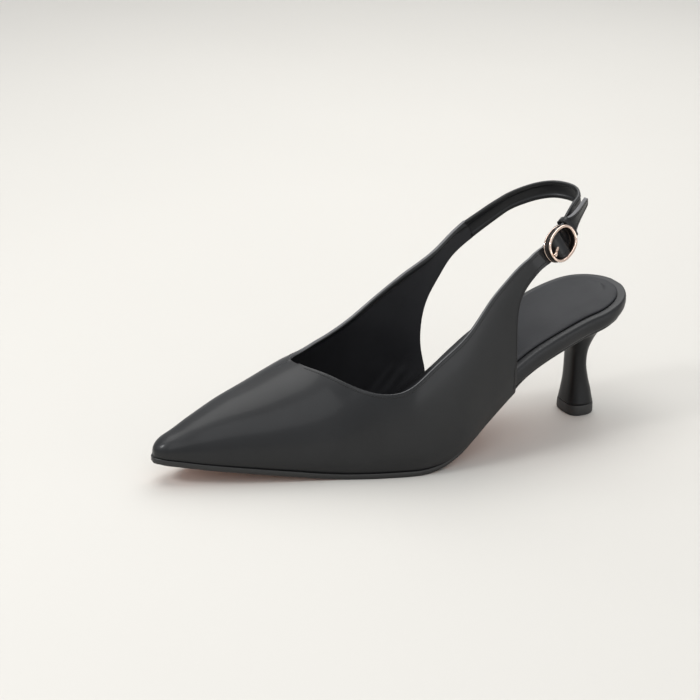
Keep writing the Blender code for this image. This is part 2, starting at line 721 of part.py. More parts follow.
def wire(name, points, radius):
    """A round wire along points, as the mesh of a bevelled curve."""
    curve = bpy.data.curves.new(name, "CURVE")
    curve.dimensions = "3D"
    curve.bevel_depth = radius
    curve.bevel_resolution = 2
    curve.use_fill_caps = True
    line = curve.splines.new("POLY")
    line.points.add(len(points) - 1)
    for spot, point in zip(line.points, points):
        spot.co = (*point, 1)
    holder = bpy.data.objects.new(name, curve)
    mesh = bpy.data.meshes.new_from_object(holder)
    bpy.data.objects.remove(holder)
    bpy.data.curves.remove(curve)
    work = bmesh.new()
    work.from_mesh(mesh)
    bmesh.ops.remove_doubles(work, verts=work.verts, dist=1e-5)
    bmesh.ops.recalc_face_normals(work, faces=work.faces)
    work.to_mesh(mesh)
    work.free()
    mesh.materials.clear()
    mesh.shade_smooth()
    return mesh


PRONG_EYE = BAR_RADIUS + EASE + PRONG_RADIUS
PRONG_TIP_RUN = -0.478     # share of RING_LENGTH
# The prong from its eye to its tip, as shares of the way forward and of the way out
PRONG_LINE = (
    (0.12, 0.03), (0.40, 0.22), (0.62, 0.46), (0.80, 0.76), (0.90, 0.95), (0.955, 1.0),
    (1.0, 1.0),
)


def prong_mesh():
    """A wire hooked round the bar, which runs forward and rests on the frame."""
    points = []
    for k in range(11):
        turn = math.radians(-135 + 225 * k / 10)
        points.append(at_buckle(PRONG_EYE * math.cos(turn), 0,
                                BAR_OUT + PRONG_EYE * math.sin(turn)))
    start = Vector((0, BAR_OUT + PRONG_EYE))
    end = Vector((PRONG_TIP_RUN * RING_LENGTH, RING_DEPTH / 2 + GAP * 0.5 + PRONG_RADIUS))
    for forward, out in PRONG_LINE:
        points.append(at_buckle(start.x + (end.x - start.x) * forward, 0,
                                start.y + (end.y - start.y) * out))
    return wire("buckle_prong", points, PRONG_RADIUS)


def keeper_mesh():
    """A leather loop round the sling strap and the buckle strap's end."""
    low = SLING_UNDER * 1.10 - SLING_THICKNESS / 2 - GAP
    high = STRAP_UNDER + GAP
    half, radius = SLING_WIDTH / 2 + GAP, 0.0008
    corners = ((half, high), (-half, high), (-half, low), (half, low))
    path = []
    for k, (x, z) in enumerate(corners):
        centre_x, centre_z = x - math.copysign(radius, x), z
        centre_z = z - radius if z == high else z + radius
        for i in range(4):
            turn = math.radians(90 * k + 90 * i / 3)
            path.append((centre_x, centre_z, math.cos(turn), math.sin(turn)))
    rings = []
    start = 0.5 * RING_LENGTH + 2 * GAP
    for x, z, cos, sin in path:
        inside = (x + radius * cos, z + radius * sin)
        outside = (inside[0] + KEEPER_THICKNESS * cos, inside[1] + KEEPER_THICKNESS * sin)
        rings.append([at_buckle(start, *inside), at_buckle(start, *outside),
                      at_buckle(start + KEEPER_WIDTH, *outside),
                      at_buckle(start + KEEPER_WIDTH, *inside)])
    return loft("keeper", rings, closed=True)


# Heel, from the waist's own table. up is the height of a section above the heel tip's
# middle, a share of HEEL_HEIGHT; tilt its slope up to the back; width and depth are
# shares of the sizes that the row names.
#   up      tilt    width of     width   depth of     depth   middle
HEEL_SECTIONS = (
    (0.230, 0.000, TIP_WIDTH, 0.830, TIP_DEPTH, 0.820, -0.0004),
    (0.340, 0.000, TIP_WIDTH, 0.735, TIP_DEPTH, 0.690, -0.0010),
    (0.476, 0.000, WAIST_WIDTH, 0.960, WAIST_DEPTH, 0.940, -0.0017),
    (0.600, 0.000, WAIST_WIDTH, 0.960, WAIST_DEPTH, 0.980, -0.0017),
    (0.700, 0.000, WAIST_WIDTH, 1.160, WAIST_DEPTH, 1.260, -0.0017),
    (0.800, 0.060, SEAT_WIDTH, 0.370, SEAT_WIDTH, 0.310, -0.0010),
    (0.880, 0.120, SEAT_WIDTH, 0.500, SEAT_WIDTH, 0.395, -0.0004),
    (0.935, 0.180, SEAT_WIDTH, 0.640, SEAT_WIDTH, 0.470, 0.0004),
)
HEEL_POINTS = 32


def d_shape(width, depth, middle, count=HEEL_POINTS):
    """A heel section: nearly straight across the breast, round at the back."""
    ring = []
    front, centre = middle - depth / 2, middle - 0.06 * depth
    for k in range(count):
        turn = 2 * math.pi * k / count
        cos, sin = math.cos(turn), math.sin(turn)
        power = 2 / 2.2 if sin >= 0 else 2 / 2.9
        reach = middle + depth / 2 - centre if sin >= 0 else centre - front
        ring.append((math.copysign(abs(cos) ** power, cos) * width / 2,
                     centre + math.copysign(abs(sin) ** power, sin) * reach))
    return ring


def heel_mesh():
    bottom = TIP_HEIGHT + GAP
    rings = [[Vector((x, y, bottom)) for x, y in d_shape(0.955 * TIP_WIDTH,
                                                         0.955 * TIP_DEPTH, 0)]]
    for up, tilt, width_of, width, depth_of, depth, middle in HEEL_SECTIONS:
        rings.append([Vector((x, y, up * HEEL_HEIGHT + tilt * y))
                      for x, y in d_shape(width_of * width, depth_of * depth, middle)])
    top = seat_outline()
    for share in (1.0, 0.985, 0.75, 0.5, 0.25):
        down = 0.0008 if share == 1.0 else 0
        centre = (BREAST_Y + HEEL_SETBACK) / 2
        ring = []
        for x, y in top:
            y = centre + (y - centre) * share
            ring.append(Vector((x * share, y, underside(y) - GAP - down)))
        rings.append(ring)
    return loft("heel", rings)


def seat_outline():
    """The heel's top: the seat's edge, closed by the breast."""
    back = HEEL_SETBACK - HEEL_INSET
    depth = back - BREAST_Y
    shape = d_shape(2, depth, BREAST_Y + depth / 2)
    ring = []
    for x, y in shape:
        side = 1 if x >= 0 else -1
        edge = abs(INSOLE_EDGE.x(side, min(y, INSOLE_EDGE.back))) - HEEL_INSET
        reach = abs(INSOLE_EDGE.x(side, 0.0)) - HEEL_INSET
        if y > 0:
            across = math.sqrt(max(1 - (y / back) ** 2, 0))
            half = min(abs(x), 1) * reach
            half = min(half, reach * across)
        else:
            half = abs(x) * edge
        ring.append((side * half, y))
    return ring


def tip_mesh():
    rings = []
    for height, share in ((0, 0.965), (0.0005, 1.0), (TIP_HEIGHT - 0.0004, 0.965),
                          (TIP_HEIGHT, 0.945)):
        rings.append([Vector((x, y, height))
                      for x, y in d_shape(TIP_WIDTH * share, TIP_DEPTH * share, 0)])
    return loft("heel_tip", rings)


# Thickness of the insole, as a share of INSOLE_SEAT_THICKNESS at its thickest
INSOLE_FORE = INSOLE_FORE_THICKNESS / INSOLE_SEAT_THICKNESS
#   along   thickness
INSOLE_ROWS = (
    (0.000, INSOLE_FORE), (0.350, INSOLE_FORE), (0.460, 0.490), (0.570, 0.800),
    (0.680, 1.000), (0.800, 1.000), (0.918, 0.950), (0.959, 0.850), (1.000, 0.710),
)
INSOLE_SHARE = fair(INSOLE_ROWS, 1)


def insole_thickness(y):
    return INSOLE_SEAT_THICKNESS * INSOLE_SHARE(along_of(y))


def insole_bottom(y):
    return lift(y, outsole_thickness(y) + GAP)


def insole_top(y):
    return lift(y, outsole_thickness(y) + GAP + insole_thickness(y))


def sock_bottom(y):
    return lift(y, outsole_thickness(y) + 2 * GAP + insole_thickness(y))


def sock_top(y):
    return lift(y, outsole_thickness(y) + 2 * GAP + insole_thickness(y) + SOCK_THICKNESS)


def combine(target, tool, operation, tools):
    """Cut a shape out of a piece, or join it to the piece."""
    tools.objects.link(tool)
    tool.hide_render = True
    tool.display_type = "WIRE"
    modifier = target.modifiers.new(tool.name, "BOOLEAN")
    modifier.operation = operation
    modifier.solver = "EXACT"
    modifier.object = tool


def frame_matrix(middle, first, second, third):
    """The matrix that puts a unit primitive's axes along three vectors."""
    return Matrix((*zip(first, second, third, middle), (0, 0, 0, 1)))


def box_at_buckle(name, low, high):
    """A box in the buckle's frame between two corners, as (run, across, out)."""
    middle = [(a + b) / 2 for a, b in zip(low, high)]
    size = [b - a for a, b in zip(low, high)]
    work = bmesh.new()
    bmesh.ops.create_cube(work, size=1, matrix=frame_matrix(
        at_buckle(*middle), RUN * size[0], ACROSS * size[1], OUT * size[2]))
    mesh = bpy.data.meshes.new(name)
    work.to_mesh(mesh)
    work.free()
    return bpy.data.objects.new(name, mesh)


def bar_at_buckle(name):
    """The buckle's bar, a rod across the middle of the frame."""
    work = bmesh.new()
    bmesh.ops.create_cone(work, cap_ends=True, segments=12, radius1=BAR_RADIUS,
                          radius2=BAR_RADIUS, depth=RING_WIDTH - RING_FRAME,
                          matrix=frame_matrix(at_buckle(0, 0, BAR_OUT), OUT, RUN, ACROSS))
    mesh = bpy.data.meshes.new(name)
    work.to_mesh(mesh)
    work.free()
    return bpy.data.objects.new(name, mesh)


def main():
    for item in list(bpy.data.objects):
        bpy.data.objects.remove(item, do_unlink=True)
    shoe = bpy.data.collections.new("slingback_pump")
    cutters = bpy.data.collections.new("cutters")
    for group in (shoe, cutters):
        bpy.context.scene.collection.children.link(group)

    leather = material("black leather", (0.018, 0.018, 0.019), 0.42)
    strap_leather = material("strap leather", (0.016, 0.016, 0.017), 0.45)
    sock_leather = material("sock leather", (0.030, 0.030, 0.032), 0.50)
    wrapped = material("insole wrap", (0.020, 0.020, 0.022), 0.48)
    rubber = material("outsole rubber", (0.020, 0.019, 0.018), 0.60)
    heel_cover = material("heel cover", (0.016, 0.016, 0.018), 0.30)
    tip_rubber = material("heel tip rubber", (0.012, 0.012, 0.012), 0.65)
    rose_gold = material("rose gold", (0.80, 0.50, 0.36), 0.22, 1.0)
    keeper_leather = material("keeper leather", (0.016, 0.016, 0.017), 0.45)

    new_object("outsole", slab("outsole", OUTSOLE_EDGE, underside,
                               lambda y: lift(y, outsole_thickness(y))), shoe, rubber)
    new_object("insole", slab("insole", INSOLE_EDGE, insole_bottom, insole_top),
               shoe, wrapped)
    new_object("sock_lining", slab("sock_lining", SOCK_EDGE, sock_bottom, sock_top),
               shoe, sock_leather)
    new_object("heel", heel_mesh(), shoe, heel_cover)
    new_object("heel_tip", tip_mesh(), shoe, tip_rubber)

    upper = new_object("upper", upper_mesh(), shoe, leather)
    wall = upper.modifiers.new("wall", "SOLIDIFY")
    wall.thickness = UPPER_WALL
    wall.offset = -1
    wall.use_even_offset = True
    hole = box_at_buckle("prong_hole",
                         (-0.285 * RING_LENGTH, -PRONG_HOLE / 2, -1.1 * RING_DEPTH),
                         (-0.030 * RING_LENGTH, PRONG_HOLE / 2, 1.5 * RING_DEPTH))
    combine(upper, hole, "DIFFERENCE", cutters)

    sling = new_object("sling_strap", sling_mesh(), shoe, strap_leather)
    slot = box_at_buckle("prong_slot",
                         (-0.14 * RING_LENGTH, -SLOT_WIDTH / 2, -1.05 * RING_DEPTH),
                         (0.115 * RING_LENGTH, SLOT_WIDTH / 2, 0.25 * RING_DEPTH))
    combine(sling, slot, "DIFFERENCE", cutters)

    frame = new_object("buckle_frame", ring_mesh(), shoe, rose_gold)
    combine(frame, bar_at_buckle("buckle_bar"), "UNION", cutters)

    new_object("buckle_prong", prong_mesh(), shoe, rose_gold)
    new_object("keeper", keeper_mesh(), shoe, keeper_leather)


main()
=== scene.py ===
"""Slingback pump, left shoe: the visible pieces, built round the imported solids.

Metres, in the solids' own frame: toe to -Y, outer side +X, up +Z, floor at z = 0.
"""
import math

import bmesh
import bpy
import numpy as np
from mathutils import Matrix, Vector


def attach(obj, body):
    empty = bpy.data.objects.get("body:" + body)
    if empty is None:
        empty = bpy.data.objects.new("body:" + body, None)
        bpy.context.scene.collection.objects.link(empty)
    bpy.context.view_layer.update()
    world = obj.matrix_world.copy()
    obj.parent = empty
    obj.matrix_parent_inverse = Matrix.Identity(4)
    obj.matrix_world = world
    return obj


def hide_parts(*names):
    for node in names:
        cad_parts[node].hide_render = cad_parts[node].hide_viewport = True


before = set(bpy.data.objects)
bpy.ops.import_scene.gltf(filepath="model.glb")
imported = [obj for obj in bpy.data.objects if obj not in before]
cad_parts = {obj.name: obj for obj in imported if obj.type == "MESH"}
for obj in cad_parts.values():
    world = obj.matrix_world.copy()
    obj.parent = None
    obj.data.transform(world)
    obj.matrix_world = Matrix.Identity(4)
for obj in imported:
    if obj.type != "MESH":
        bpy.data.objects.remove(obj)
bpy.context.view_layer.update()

# OUTSOLE. A thin moulded sheet with a black painted edge and a tan-brown underside,
# cemented under the upper. Its outline and its spring, tread and arch are those of
# the last, given by the three tables.
SHOE_LENGTH = 0.2453       # tip of the toe to the back of the seat, along the floor
HEEL_SETBACK = 0.0193      # back of the seat to the middle of the heel tip
BALL_WIDTH = 0.0690        # insole across the ball of the foot
SEAT_WIDTH = 0.0545        # insole across the seat
HEEL_HEIGHT = 0.0535       # floor to the underside of the seat, above the heel tip's middle
TOE_SPRING = 0.0105        # floor to the sole under the tip of the toe
THROAT_HEIGHT = 0.0500     # floor to the middle of the topline
OUTSOLE_THICKNESS = 0.0027 # under the forefoot
OUTSOLE_SEAT_THICKNESS = 0.0010
UPPER_WALL = 0.0016        # leather and lining together
GAP = 0.0003               # between pieces that touch on the real shoe
SOLE_EDGE = 0.0006         # the outsole stands out this far beyond the upper
SEAT_INSET = 0.0020        # the outsole stays this far inside the insole under the seat

TOE_Y = HEEL_SETBACK - SHOE_LENGTH
SOLE_MARGIN = GAP + UPPER_WALL + SOLE_EDGE
LAST_LENGTH = SHOE_LENGTH - SOLE_MARGIN
LAST_TIP_Y = TOE_Y + SOLE_MARGIN

# Edge of the insole. along is a share of LAST_LENGTH from the toe. outer and inner
# are half widths, as shares of the width that the row names.
#   along   of           outer  inner
LAST_PLAN = (
    (0.000, BALL_WIDTH, 0.043, 0.058),
    (0.038, BALL_WIDTH, 0.090, 0.107),
    (0.080, BALL_WIDTH, 0.149, 0.170),
    (0.161, BALL_WIDTH, 0.245, 0.280),
    (0.242, BALL_WIDTH, 0.327, 0.368),
    (0.323, BALL_WIDTH, 0.405, 0.426),
    (0.404, BALL_WIDTH, 0.500, 0.457),
    (0.484, BALL_WIDTH, 0.556, 0.438),
    (0.555, BALL_WIDTH, 0.541, 0.391),
    (0.636, BALL_WIDTH, 0.477, 0.328),
    (0.717, SEAT_WIDTH, 0.550, 0.411),
    (0.798, SEAT_WIDTH, 0.540, 0.440),
    (0.879, SEAT_WIDTH, 0.514, 0.479),
    (1.000, SEAT_WIDTH, 0.505, 0.495),
)
NOSE_SHARE = 0.020         # length of the toe's round end, of LAST_LENGTH
SEAT_ROUND_SHARE = 0.106   # length of the seat's round end, of LAST_LENGTH

# Underside of the outsole. rise is a share of HEEL_HEIGHT, spring of TOE_SPRING.
#   along   rise
RISE_ROWS = (
    (0.000, 0.000), (0.476, 0.000), (0.517, 0.022), (0.550, 0.075), (0.591, 0.187),
    (0.632, 0.327), (0.673, 0.471), (0.714, 0.609), (0.754, 0.725), (0.795, 0.815),
    (0.836, 0.886), (0.877, 0.948), (0.918, 1.000), (0.959, 1.060), (1.000, 1.118),
)
#   along   spring
SPRING_ROWS = (
    (0.000, 1.000), (0.079, 0.740), (0.161, 0.500), (0.243, 0.250), (0.296, 0.085),
    (0.345, 0.000), (1.000, 0.000),
)


def table_column(rows, column):
    """The places and the values of a table's column, and the steps between places."""
    xs = np.array([row[0] for row in rows], float)
    return xs, np.array([row[column] for row in rows], float), np.diff(xs)


def step_at(xs, x):
    """x kept inside the table, and the number of the step that it falls in."""
    x = min(max(x, xs[0]), xs[-1])
    return x, max(min(int(np.searchsorted(xs, x, side="right")) - 1, len(xs) - 2), 0)


def fair(rows, column):
    """A smooth curve through one column of a table, without overshoot."""
    xs, ys, steps = table_column(rows, column)
    slopes, ends = np.diff(ys) / steps, np.zeros(len(xs))
    for k in range(1, len(xs) - 1):
        if slopes[k - 1] * slopes[k] > 0:
            first, second = 2 * steps[k] + steps[k - 1], steps[k] + 2 * steps[k - 1]
            ends[k] = (first + second) / (first / slopes[k - 1] + second / slopes[k])
    ends[0], ends[-1] = slopes[0], slopes[-1]

    def at(x):
        x, k = step_at(xs, x)
        step = steps[k]
        u = (x - xs[k]) / step
        return ((1 + 2 * u) * (1 - u) ** 2 * ys[k] + u * (1 - u) ** 2 * step * ends[k]
                + u * u * (3 - 2 * u) * ys[k + 1] + u * u * (u - 1) * step * ends[k + 1])
    return at


def smooth(rows, column):
    """A natural cubic curve through one column of a table, for cut edges."""
    xs, ys, steps = table_column(rows, column)
    count = len(xs)
    system, right = np.eye(count), np.zeros(count)
    for k in range(1, count - 1):
        before, after = steps[k - 1], steps[k]
        system[k, k - 1:k + 2] = before, 2 * (before + after), after
        right[k] = 6 * ((ys[k + 1] - ys[k]) / after - (ys[k] - ys[k - 1]) / before)
    bends = np.linalg.solve(system, right)

    def at(x):
        x, k = step_at(xs, x)
        step, low, high = steps[k], xs[k + 1] - x, x - xs[k]
        return ((bends[k] * low ** 3 + bends[k + 1] * high ** 3) / (6 * step)
                + (ys[k] / step - bends[k] * step / 6) * low
                + (ys[k + 1] / step - bends[k + 1] * step / 6) * high)
    return at


def y_of(along):
    return LAST_TIP_Y + along * LAST_LENGTH


def along_of(y):
    return (y - LAST_TIP_Y) / LAST_LENGTH


def round_end(distance, length):
    """0 at a round end, 1 from one length inside it."""
    inside = 1 - min(max(distance / length, 0), 1)
    return math.sqrt(1 - inside * inside)


plan_rows = [(row[0], row[1] * row[2], row[1] * row[3]) for row in LAST_PLAN]
PLAN_HALF = {1: fair(plan_rows, 1), -1: fair(plan_rows, 2)}
RISE, SPRING = fair(RISE_ROWS, 1), fair(SPRING_ROWS, 1)
SLOPE_STEP = 0.0005        # reach of a slope's measurement


def underside(y):
    """Height of the outsole's underside above the floor."""
    along = along_of(y)
    return RISE(along) * HEEL_HEIGHT + SPRING(along) * TOE_SPRING


def lift(y, thickness):
    """Height at a distance above the underside, square to it."""
    slope = (underside(y + SLOPE_STEP) - underside(y - SLOPE_STEP)) / (2 * SLOPE_STEP)
    return underside(y) + thickness * math.sqrt(1 + slope * slope)


# The outsole: how far its edge lies beyond the insole's edge, and its thickness.
# It stands out under the toe and the ball, and tucks in from the arch back.
ARCH_MARGIN = 0.0005
#   along   margin       thickness
OUTSOLE_ROWS = (
    (0.000, SOLE_MARGIN, OUTSOLE_THICKNESS),
    (0.470, SOLE_MARGIN, OUTSOLE_THICKNESS),
    (0.620, ARCH_MARGIN, OUTSOLE_SEAT_THICKNESS),
    (0.660, ARCH_MARGIN, OUTSOLE_SEAT_THICKNESS),
    (0.730, -SEAT_INSET, OUTSOLE_SEAT_THICKNESS),
    (1.000, -SEAT_INSET, OUTSOLE_SEAT_THICKNESS),
)
outsole_margin = fair(OUTSOLE_ROWS, 1)
THICKNESS = fair(OUTSOLE_ROWS, 2)


def outsole_thickness(y):
    return THICKNESS(along_of(y))


def last_half(side, along):
    """Half width of the insole's edge on one side."""
    nose = round_end(along, NOSE_SHARE)
    seat = round_end(1 - along, SEAT_ROUND_SHARE)
    return PLAN_HALF[side](along) * nose * seat


EDGE_POINTS = 320
MEETING_STEPS, MEETING_SHARE = 40, 0.002 # the search for where two sides meet
SOLE_STATIONS, SOLE_ACROSS = 120, 12 # points along and across a layer of the sole


class Edge:
    """The insole's edge moved outward, by a distance that may follow along."""

    def __init__(self, margin):
        count = EDGE_POINTS
        shares = [(1 - math.cos(math.pi * k / count)) / 2 for k in range(count + 1)]
        loop = [(last_half(1, s), y_of(s), s) for s in shares]
        loop += [(-last_half(-1, s), y_of(s), s) for s in shares[-2:0:-1]]
        moved = []
        for k, (x, y, along) in enumerate(loop):
            before, after = loop[k - 1], loop[(k + 1) % len(loop)]
            run = Vector((after[0] - before[0], after[1] - before[1])).normalized()
            moved.append((x + run.y * margin(along), y - run.x * margin(along)))
        outer, inner = moved[:count + 1], [moved[0]] + moved[:count - 1:-1]
        self.sides = {1: self.unfolded(outer), -1: self.unfolded(inner)}
        self.tip = self.meeting(0)
        self.back = self.meeting(-1)

    def unfolded(self, points):
        """The points from the middle out to where the moved line turns back."""
        first = last = len(points) // 2
        while first > 0 and points[first - 1][1] < points[first][1] - 1e-7:
            first -= 1
        while last < len(points) - 1 and points[last + 1][1] > points[last][1] + 1e-7:
            last += 1
        return np.array(points[first:last + 1])

    def meeting(self, end):
        """Y where the two sides meet at the toe or at the back."""
        ends = [self.sides[side][end, 1] for side in (1, -1)]
        y = max(ends) if end == 0 else min(ends)
        for _ in range(MEETING_STEPS):
            if self.wide(1, y) - self.wide(-1, y) > 0:
                break
            y = y + (y_of(0.5) - y) * MEETING_SHARE
        return y

    def wide(self, side, y):
        points = self.sides[side]
        return float(np.interp(y, points[:, 1], points[:, 0]))

    def x(self, side, y):
        if y <= self.tip + 1e-9 or y >= self.back - 1e-9:
            return (self.wide(1, y) + self.wide(-1, y)) / 2
        return self.wide(side, y)

    def stations(self, count):
        """Places along the shoe, closer together at both round ends."""
        middle, half = (self.tip + self.back) / 2, (self.back - self.tip) / 2
        return [middle - half * math.cos(math.pi * k / count) for k in range(count + 1)]


INSOLE_EDGE = Edge(lambda along: 0)
UPPER_EDGE = Edge(lambda along: GAP + UPPER_WALL)


def put(name, data):
    made = bpy.data.objects.new(name, data)
    bpy.context.scene.collection.objects.link(made)
    return made


def raw_mesh(name, points, faces):
    mesh = bpy.data.meshes.new(name)
    mesh.from_pydata([tuple(point) for point in points], [], faces)
    mesh.shade_smooth()
    return mesh


def mesh_of(name, points, faces):
    """A mesh with its meeting points joined and its faces turned outward."""
    mesh = raw_mesh(name, points, faces)
    work = bmesh.new()
    work.from_mesh(mesh)
    bmesh.ops.remove_doubles(work, verts=work.verts, dist=2e-6)
    bmesh.ops.recalc_face_normals(work, faces=work.faces)
    work.to_mesh(mesh)
    work.free()
    mesh.shade_smooth()
    return mesh


def dress(mesh, *materials):
    for made in materials:
        mesh.materials.append(made)


def piece(name, mesh, finish, *nodes, slot=None):
    """A visible piece: it rides on the shoe and stands for the nodes named."""
    made = put(name, mesh)
    if finish and not mesh.materials:
        dress(mesh, finish)
    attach(made, "root")
    if nodes:
        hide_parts(*nodes)
    return made


def add_sheet(points, faces, columns):
    """Add a sheet of columns of points, with its quads."""
    start, height = len(points), len(columns[0])
    points += [point for column in columns for point in column]
    faces += [(low, low + 1, low + height + 1, low + height)
              for k in range(len(columns) - 1)
              for low in range(start + k * height, start + (k + 1) * height - 1)]


def add_tube(points, faces, rings, caps=True, closed=False):
    """Add a tube of rings of points, with its quads and a face across each end."""
    start, count = len(points), len(rings[0])
    points += [point for ring in rings for point in ring]
    for k in range(len(rings) if closed else len(rings) - 1):
        here, there = start + k * count, start + (k + 1) % len(rings) * count
        for i in range(count):
            j = (i + 1) % count
            faces.append((here + i, here + j, there + j, there + i))
    if caps:
        faces.append(tuple(range(start, start + count)))
        faces.append(tuple(range(len(points) - count, len(points))))


def loft(name, rings, **ends):
    points, faces = [], []
    add_tube(points, faces, rings, **ends)
    return mesh_of(name, points, faces)


def layer(name, loops, crown=None):
    """A closed layer of the sole. loops are (edge, height) from the bottom to the top."""
    rings = [[[Vector((edge.x(side, y), y, height(y))) for y in edge.stations(SOLE_STATIONS)]
              for side in (1, -1)] for edge, height in loops]
    points, faces = [], []
    for lower, upper in zip(rings, rings[1:]):
        for side in (0, 1):
            add_sheet(points, faces, [lower[side], upper[side]])
    for ring in (rings[0], rings[-1]):
        cap = []
        for outer, inner in zip(*ring):
            cap.append([outer.lerp(inner, j / SOLE_ACROSS) for j in range(SOLE_ACROSS + 1)])
            if crown and ring is rings[-1]:
                for j, point in enumerate(cap[-1]):
                    point.z += crown(point.y, 2 * (j / SOLE_ACROSS) - 1)
        add_sheet(points, faces, cap)
    return mesh_of(name, points, faces)


def moved(margin, inset):
    """An edge of the sole taken in by an inset."""
    return Edge(lambda along: margin(along) - inset)


RAMP_STOPS = 0.35, 0.65    # where a noise reaches the lower and the higher value


def fill(inputs, values):
    for key, value in values.items():
        inputs[key].default_value = value


def material(name, colour, roughness, metallic=0.0, tint=None, gloss=None, relief=()):
    """A procedural material.

    tint and gloss are (scale, detail, low, high) of a noise that varies the colour or
    the roughness. relief holds (scale, detail, depth, strength) of bumps, laid one on
    the other. Without a detail the bumps are cells, like pores.
    """
    made = bpy.data.materials.new(name)
    made.use_nodes = True
    nodes, link = made.node_tree.nodes, made.node_tree.links.new
    shader = nodes["Principled BSDF"].inputs
    fill(shader, {"Base Color": (*colour, 1), "Roughness": roughness, "Metallic": metallic})
    place = nodes.new("ShaderNodeTexCoord").outputs["Object"]

    def texture(scale, detail):
        kind, output = ("Noise", "Fac") if detail else ("Voronoi", "Distance")
        node = nodes.new("ShaderNodeTex" + kind)
        fill(node.inputs, {"Scale": scale, **({"Detail": detail} if detail else {})})
        link(place, node.inputs["Vector"])
        return node.outputs[output]

    for row, socket in ((tint, "Base Color"), (gloss, "Roughness")):
        if row:
            ramp = nodes.new("ShaderNodeValToRGB")
            for stop, at, value in zip(ramp.color_ramp.elements, RAMP_STOPS, row[2:]):
                stop.position = at
                stop.color = (*value, 1) if isinstance(value, tuple) else (value,) * 3 + (1,)
            link(texture(*row[:2]), ramp.inputs["Fac"])
            link(ramp.outputs["Color"], shader[socket])
    below = None
    for scale, detail, depth, strength in relief:
        bump = nodes.new("ShaderNodeBump")
        fill(bump.inputs, {"Distance": depth, "Strength": strength})
        link(texture(scale, detail), bump.inputs["Height"])
        if below:
            link(below, bump.inputs["Normal"])
        below = bump.outputs["Normal"]
        link(below, shader["Normal"])
    return made


edge_paint = material("outsole edge paint", (0.012, 0.012, 0.012), 0.45,
                      gloss=(260, 3, 0.36, 0.52), relief=((900, 2, 0.00004, 1.0),))
tan_rubber = material("outsole underside", (0.440, 0.190, 0.110), 0.55,
                      tint=(90, 3, (0.410, 0.170, 0.098), (0.470, 0.210, 0.122)),
                      relief=((1100, None, 0.00006, 0.5),))

SOLE_ROUND = 0.0004        # radius of the outsole's edges
#   inset, and height from the underside or down from the top, as shares of SOLE_ROUND
SOLE_EDGE_ROWS = ((2.4, 0.0, 0), (0.9, 0.0, 0), (0.3, 0.3, 0), (0.0, 1.0, 0),
                  (0.0, 1.0, 1), (0.3, 0.3, 1), (1.0, 0.0, 1))
TAN_REACH = 0.12           # faces this far up the edge, of SOLE_ROUND, are tan
FACING_DOWN = -0.2         # and only where their normal's z is below this


def sole_height(share, from_top):
    if from_top:
        return lambda y: lift(y, outsole_thickness(y) - SOLE_ROUND * share)
    return lambda y: lift(y, SOLE_ROUND * share)


outsole_mesh = layer("outsole", [
    (moved(outsole_margin, SOLE_ROUND * inset), sole_height(share, from_top))
    for inset, share, from_top in SOLE_EDGE_ROWS])
dress(outsole_mesh, edge_paint, tan_rubber)
for face in outsole_mesh.polygons:
    middle = face.center
    low = middle.z < underside(middle.y) + SOLE_ROUND * TAN_REACH
    face.material_index = 1 if low and face.normal.z < FACING_DOWN else 0
piece("outsole_sheet", outsole_mesh, None, "outsole", slot="outsole")

# HEEL. A hard core tightly wrapped in the upper's leather: round at the back, nearly
# flat across the breast, drawn in to a narrow waist and flared to the tip. It is
# screwed up into the seat, whose edge its top follows.
HEEL_INSET = 0.0036        # the heel's top stays this far inside the seat's edge
TIP_WIDTH = 0.0187
TIP_DEPTH = 0.0164
TIP_HEIGHT = 0.0055
WAIST_WIDTH = 0.0136
WAIST_DEPTH = 0.0102
BREAST_Y = -0.0150         # front of the heel's top under the seat

# Sections of the heel. up is the height of a section's middle, a share of HEEL_HEIGHT;
# tilt its slope up to the back; width and depth are shares of the sizes that the row
# names.
#   up      tilt    width of     width   depth of     depth   middle
HEEL_SECTIONS = (
    (0.230, 0.000, TIP_WIDTH, 0.830, TIP_DEPTH, 0.820, -0.0004),
    (0.340, 0.000, TIP_WIDTH, 0.735, TIP_DEPTH, 0.690, -0.0010),
    (0.476, 0.000, WAIST_WIDTH, 0.960, WAIST_DEPTH, 0.940, -0.0017),
    (0.600, 0.000, WAIST_WIDTH, 0.960, WAIST_DEPTH, 0.980, -0.0017),
    (0.700, 0.000, WAIST_WIDTH, 1.160, WAIST_DEPTH, 1.260, -0.0017),
    (0.800, 0.060, SEAT_WIDTH, 0.370, SEAT_WIDTH, 0.310, -0.0010),
    (0.880, 0.120, SEAT_WIDTH, 0.500, SEAT_WIDTH, 0.395, -0.0004),
    (0.935, 0.180, SEAT_WIDTH, 0.640, SEAT_WIDTH, 0.470, 0.0004),
)
HEEL_POINTS = 96
HEEL_STEPS = 6             # rings between two rows of the table
BACK_POWER, BREAST_POWER = 2.2, 2.9 # 2 is an ellipse, more is squarer
WIDEST = 0.06              # widest place in front of a section's middle, of its depth
HEEL_FOOT = 0.955          # the heel's foot, as a share of the tip's width and depth


def signed(value, power):
    return math.copysign(abs(value) ** power, value)


def d_shape(width, depth, middle):
    """A heel section: nearly straight across the breast, round at the back."""
    ring = []
    front, centre = middle - depth / 2, middle - WIDEST * depth
    for k in range(HEEL_POINTS):
        turn = 2 * math.pi * k / HEEL_POINTS
        cos, sin = math.cos(turn), math.sin(turn)
        power = 2 / BACK_POWER if sin >= 0 else 2 / BREAST_POWER
        reach = middle + depth / 2 - centre if sin >= 0 else centre - front
        ring.append((signed(cos, power) * width / 2, centre + signed(sin, power) * reach))
    return ring


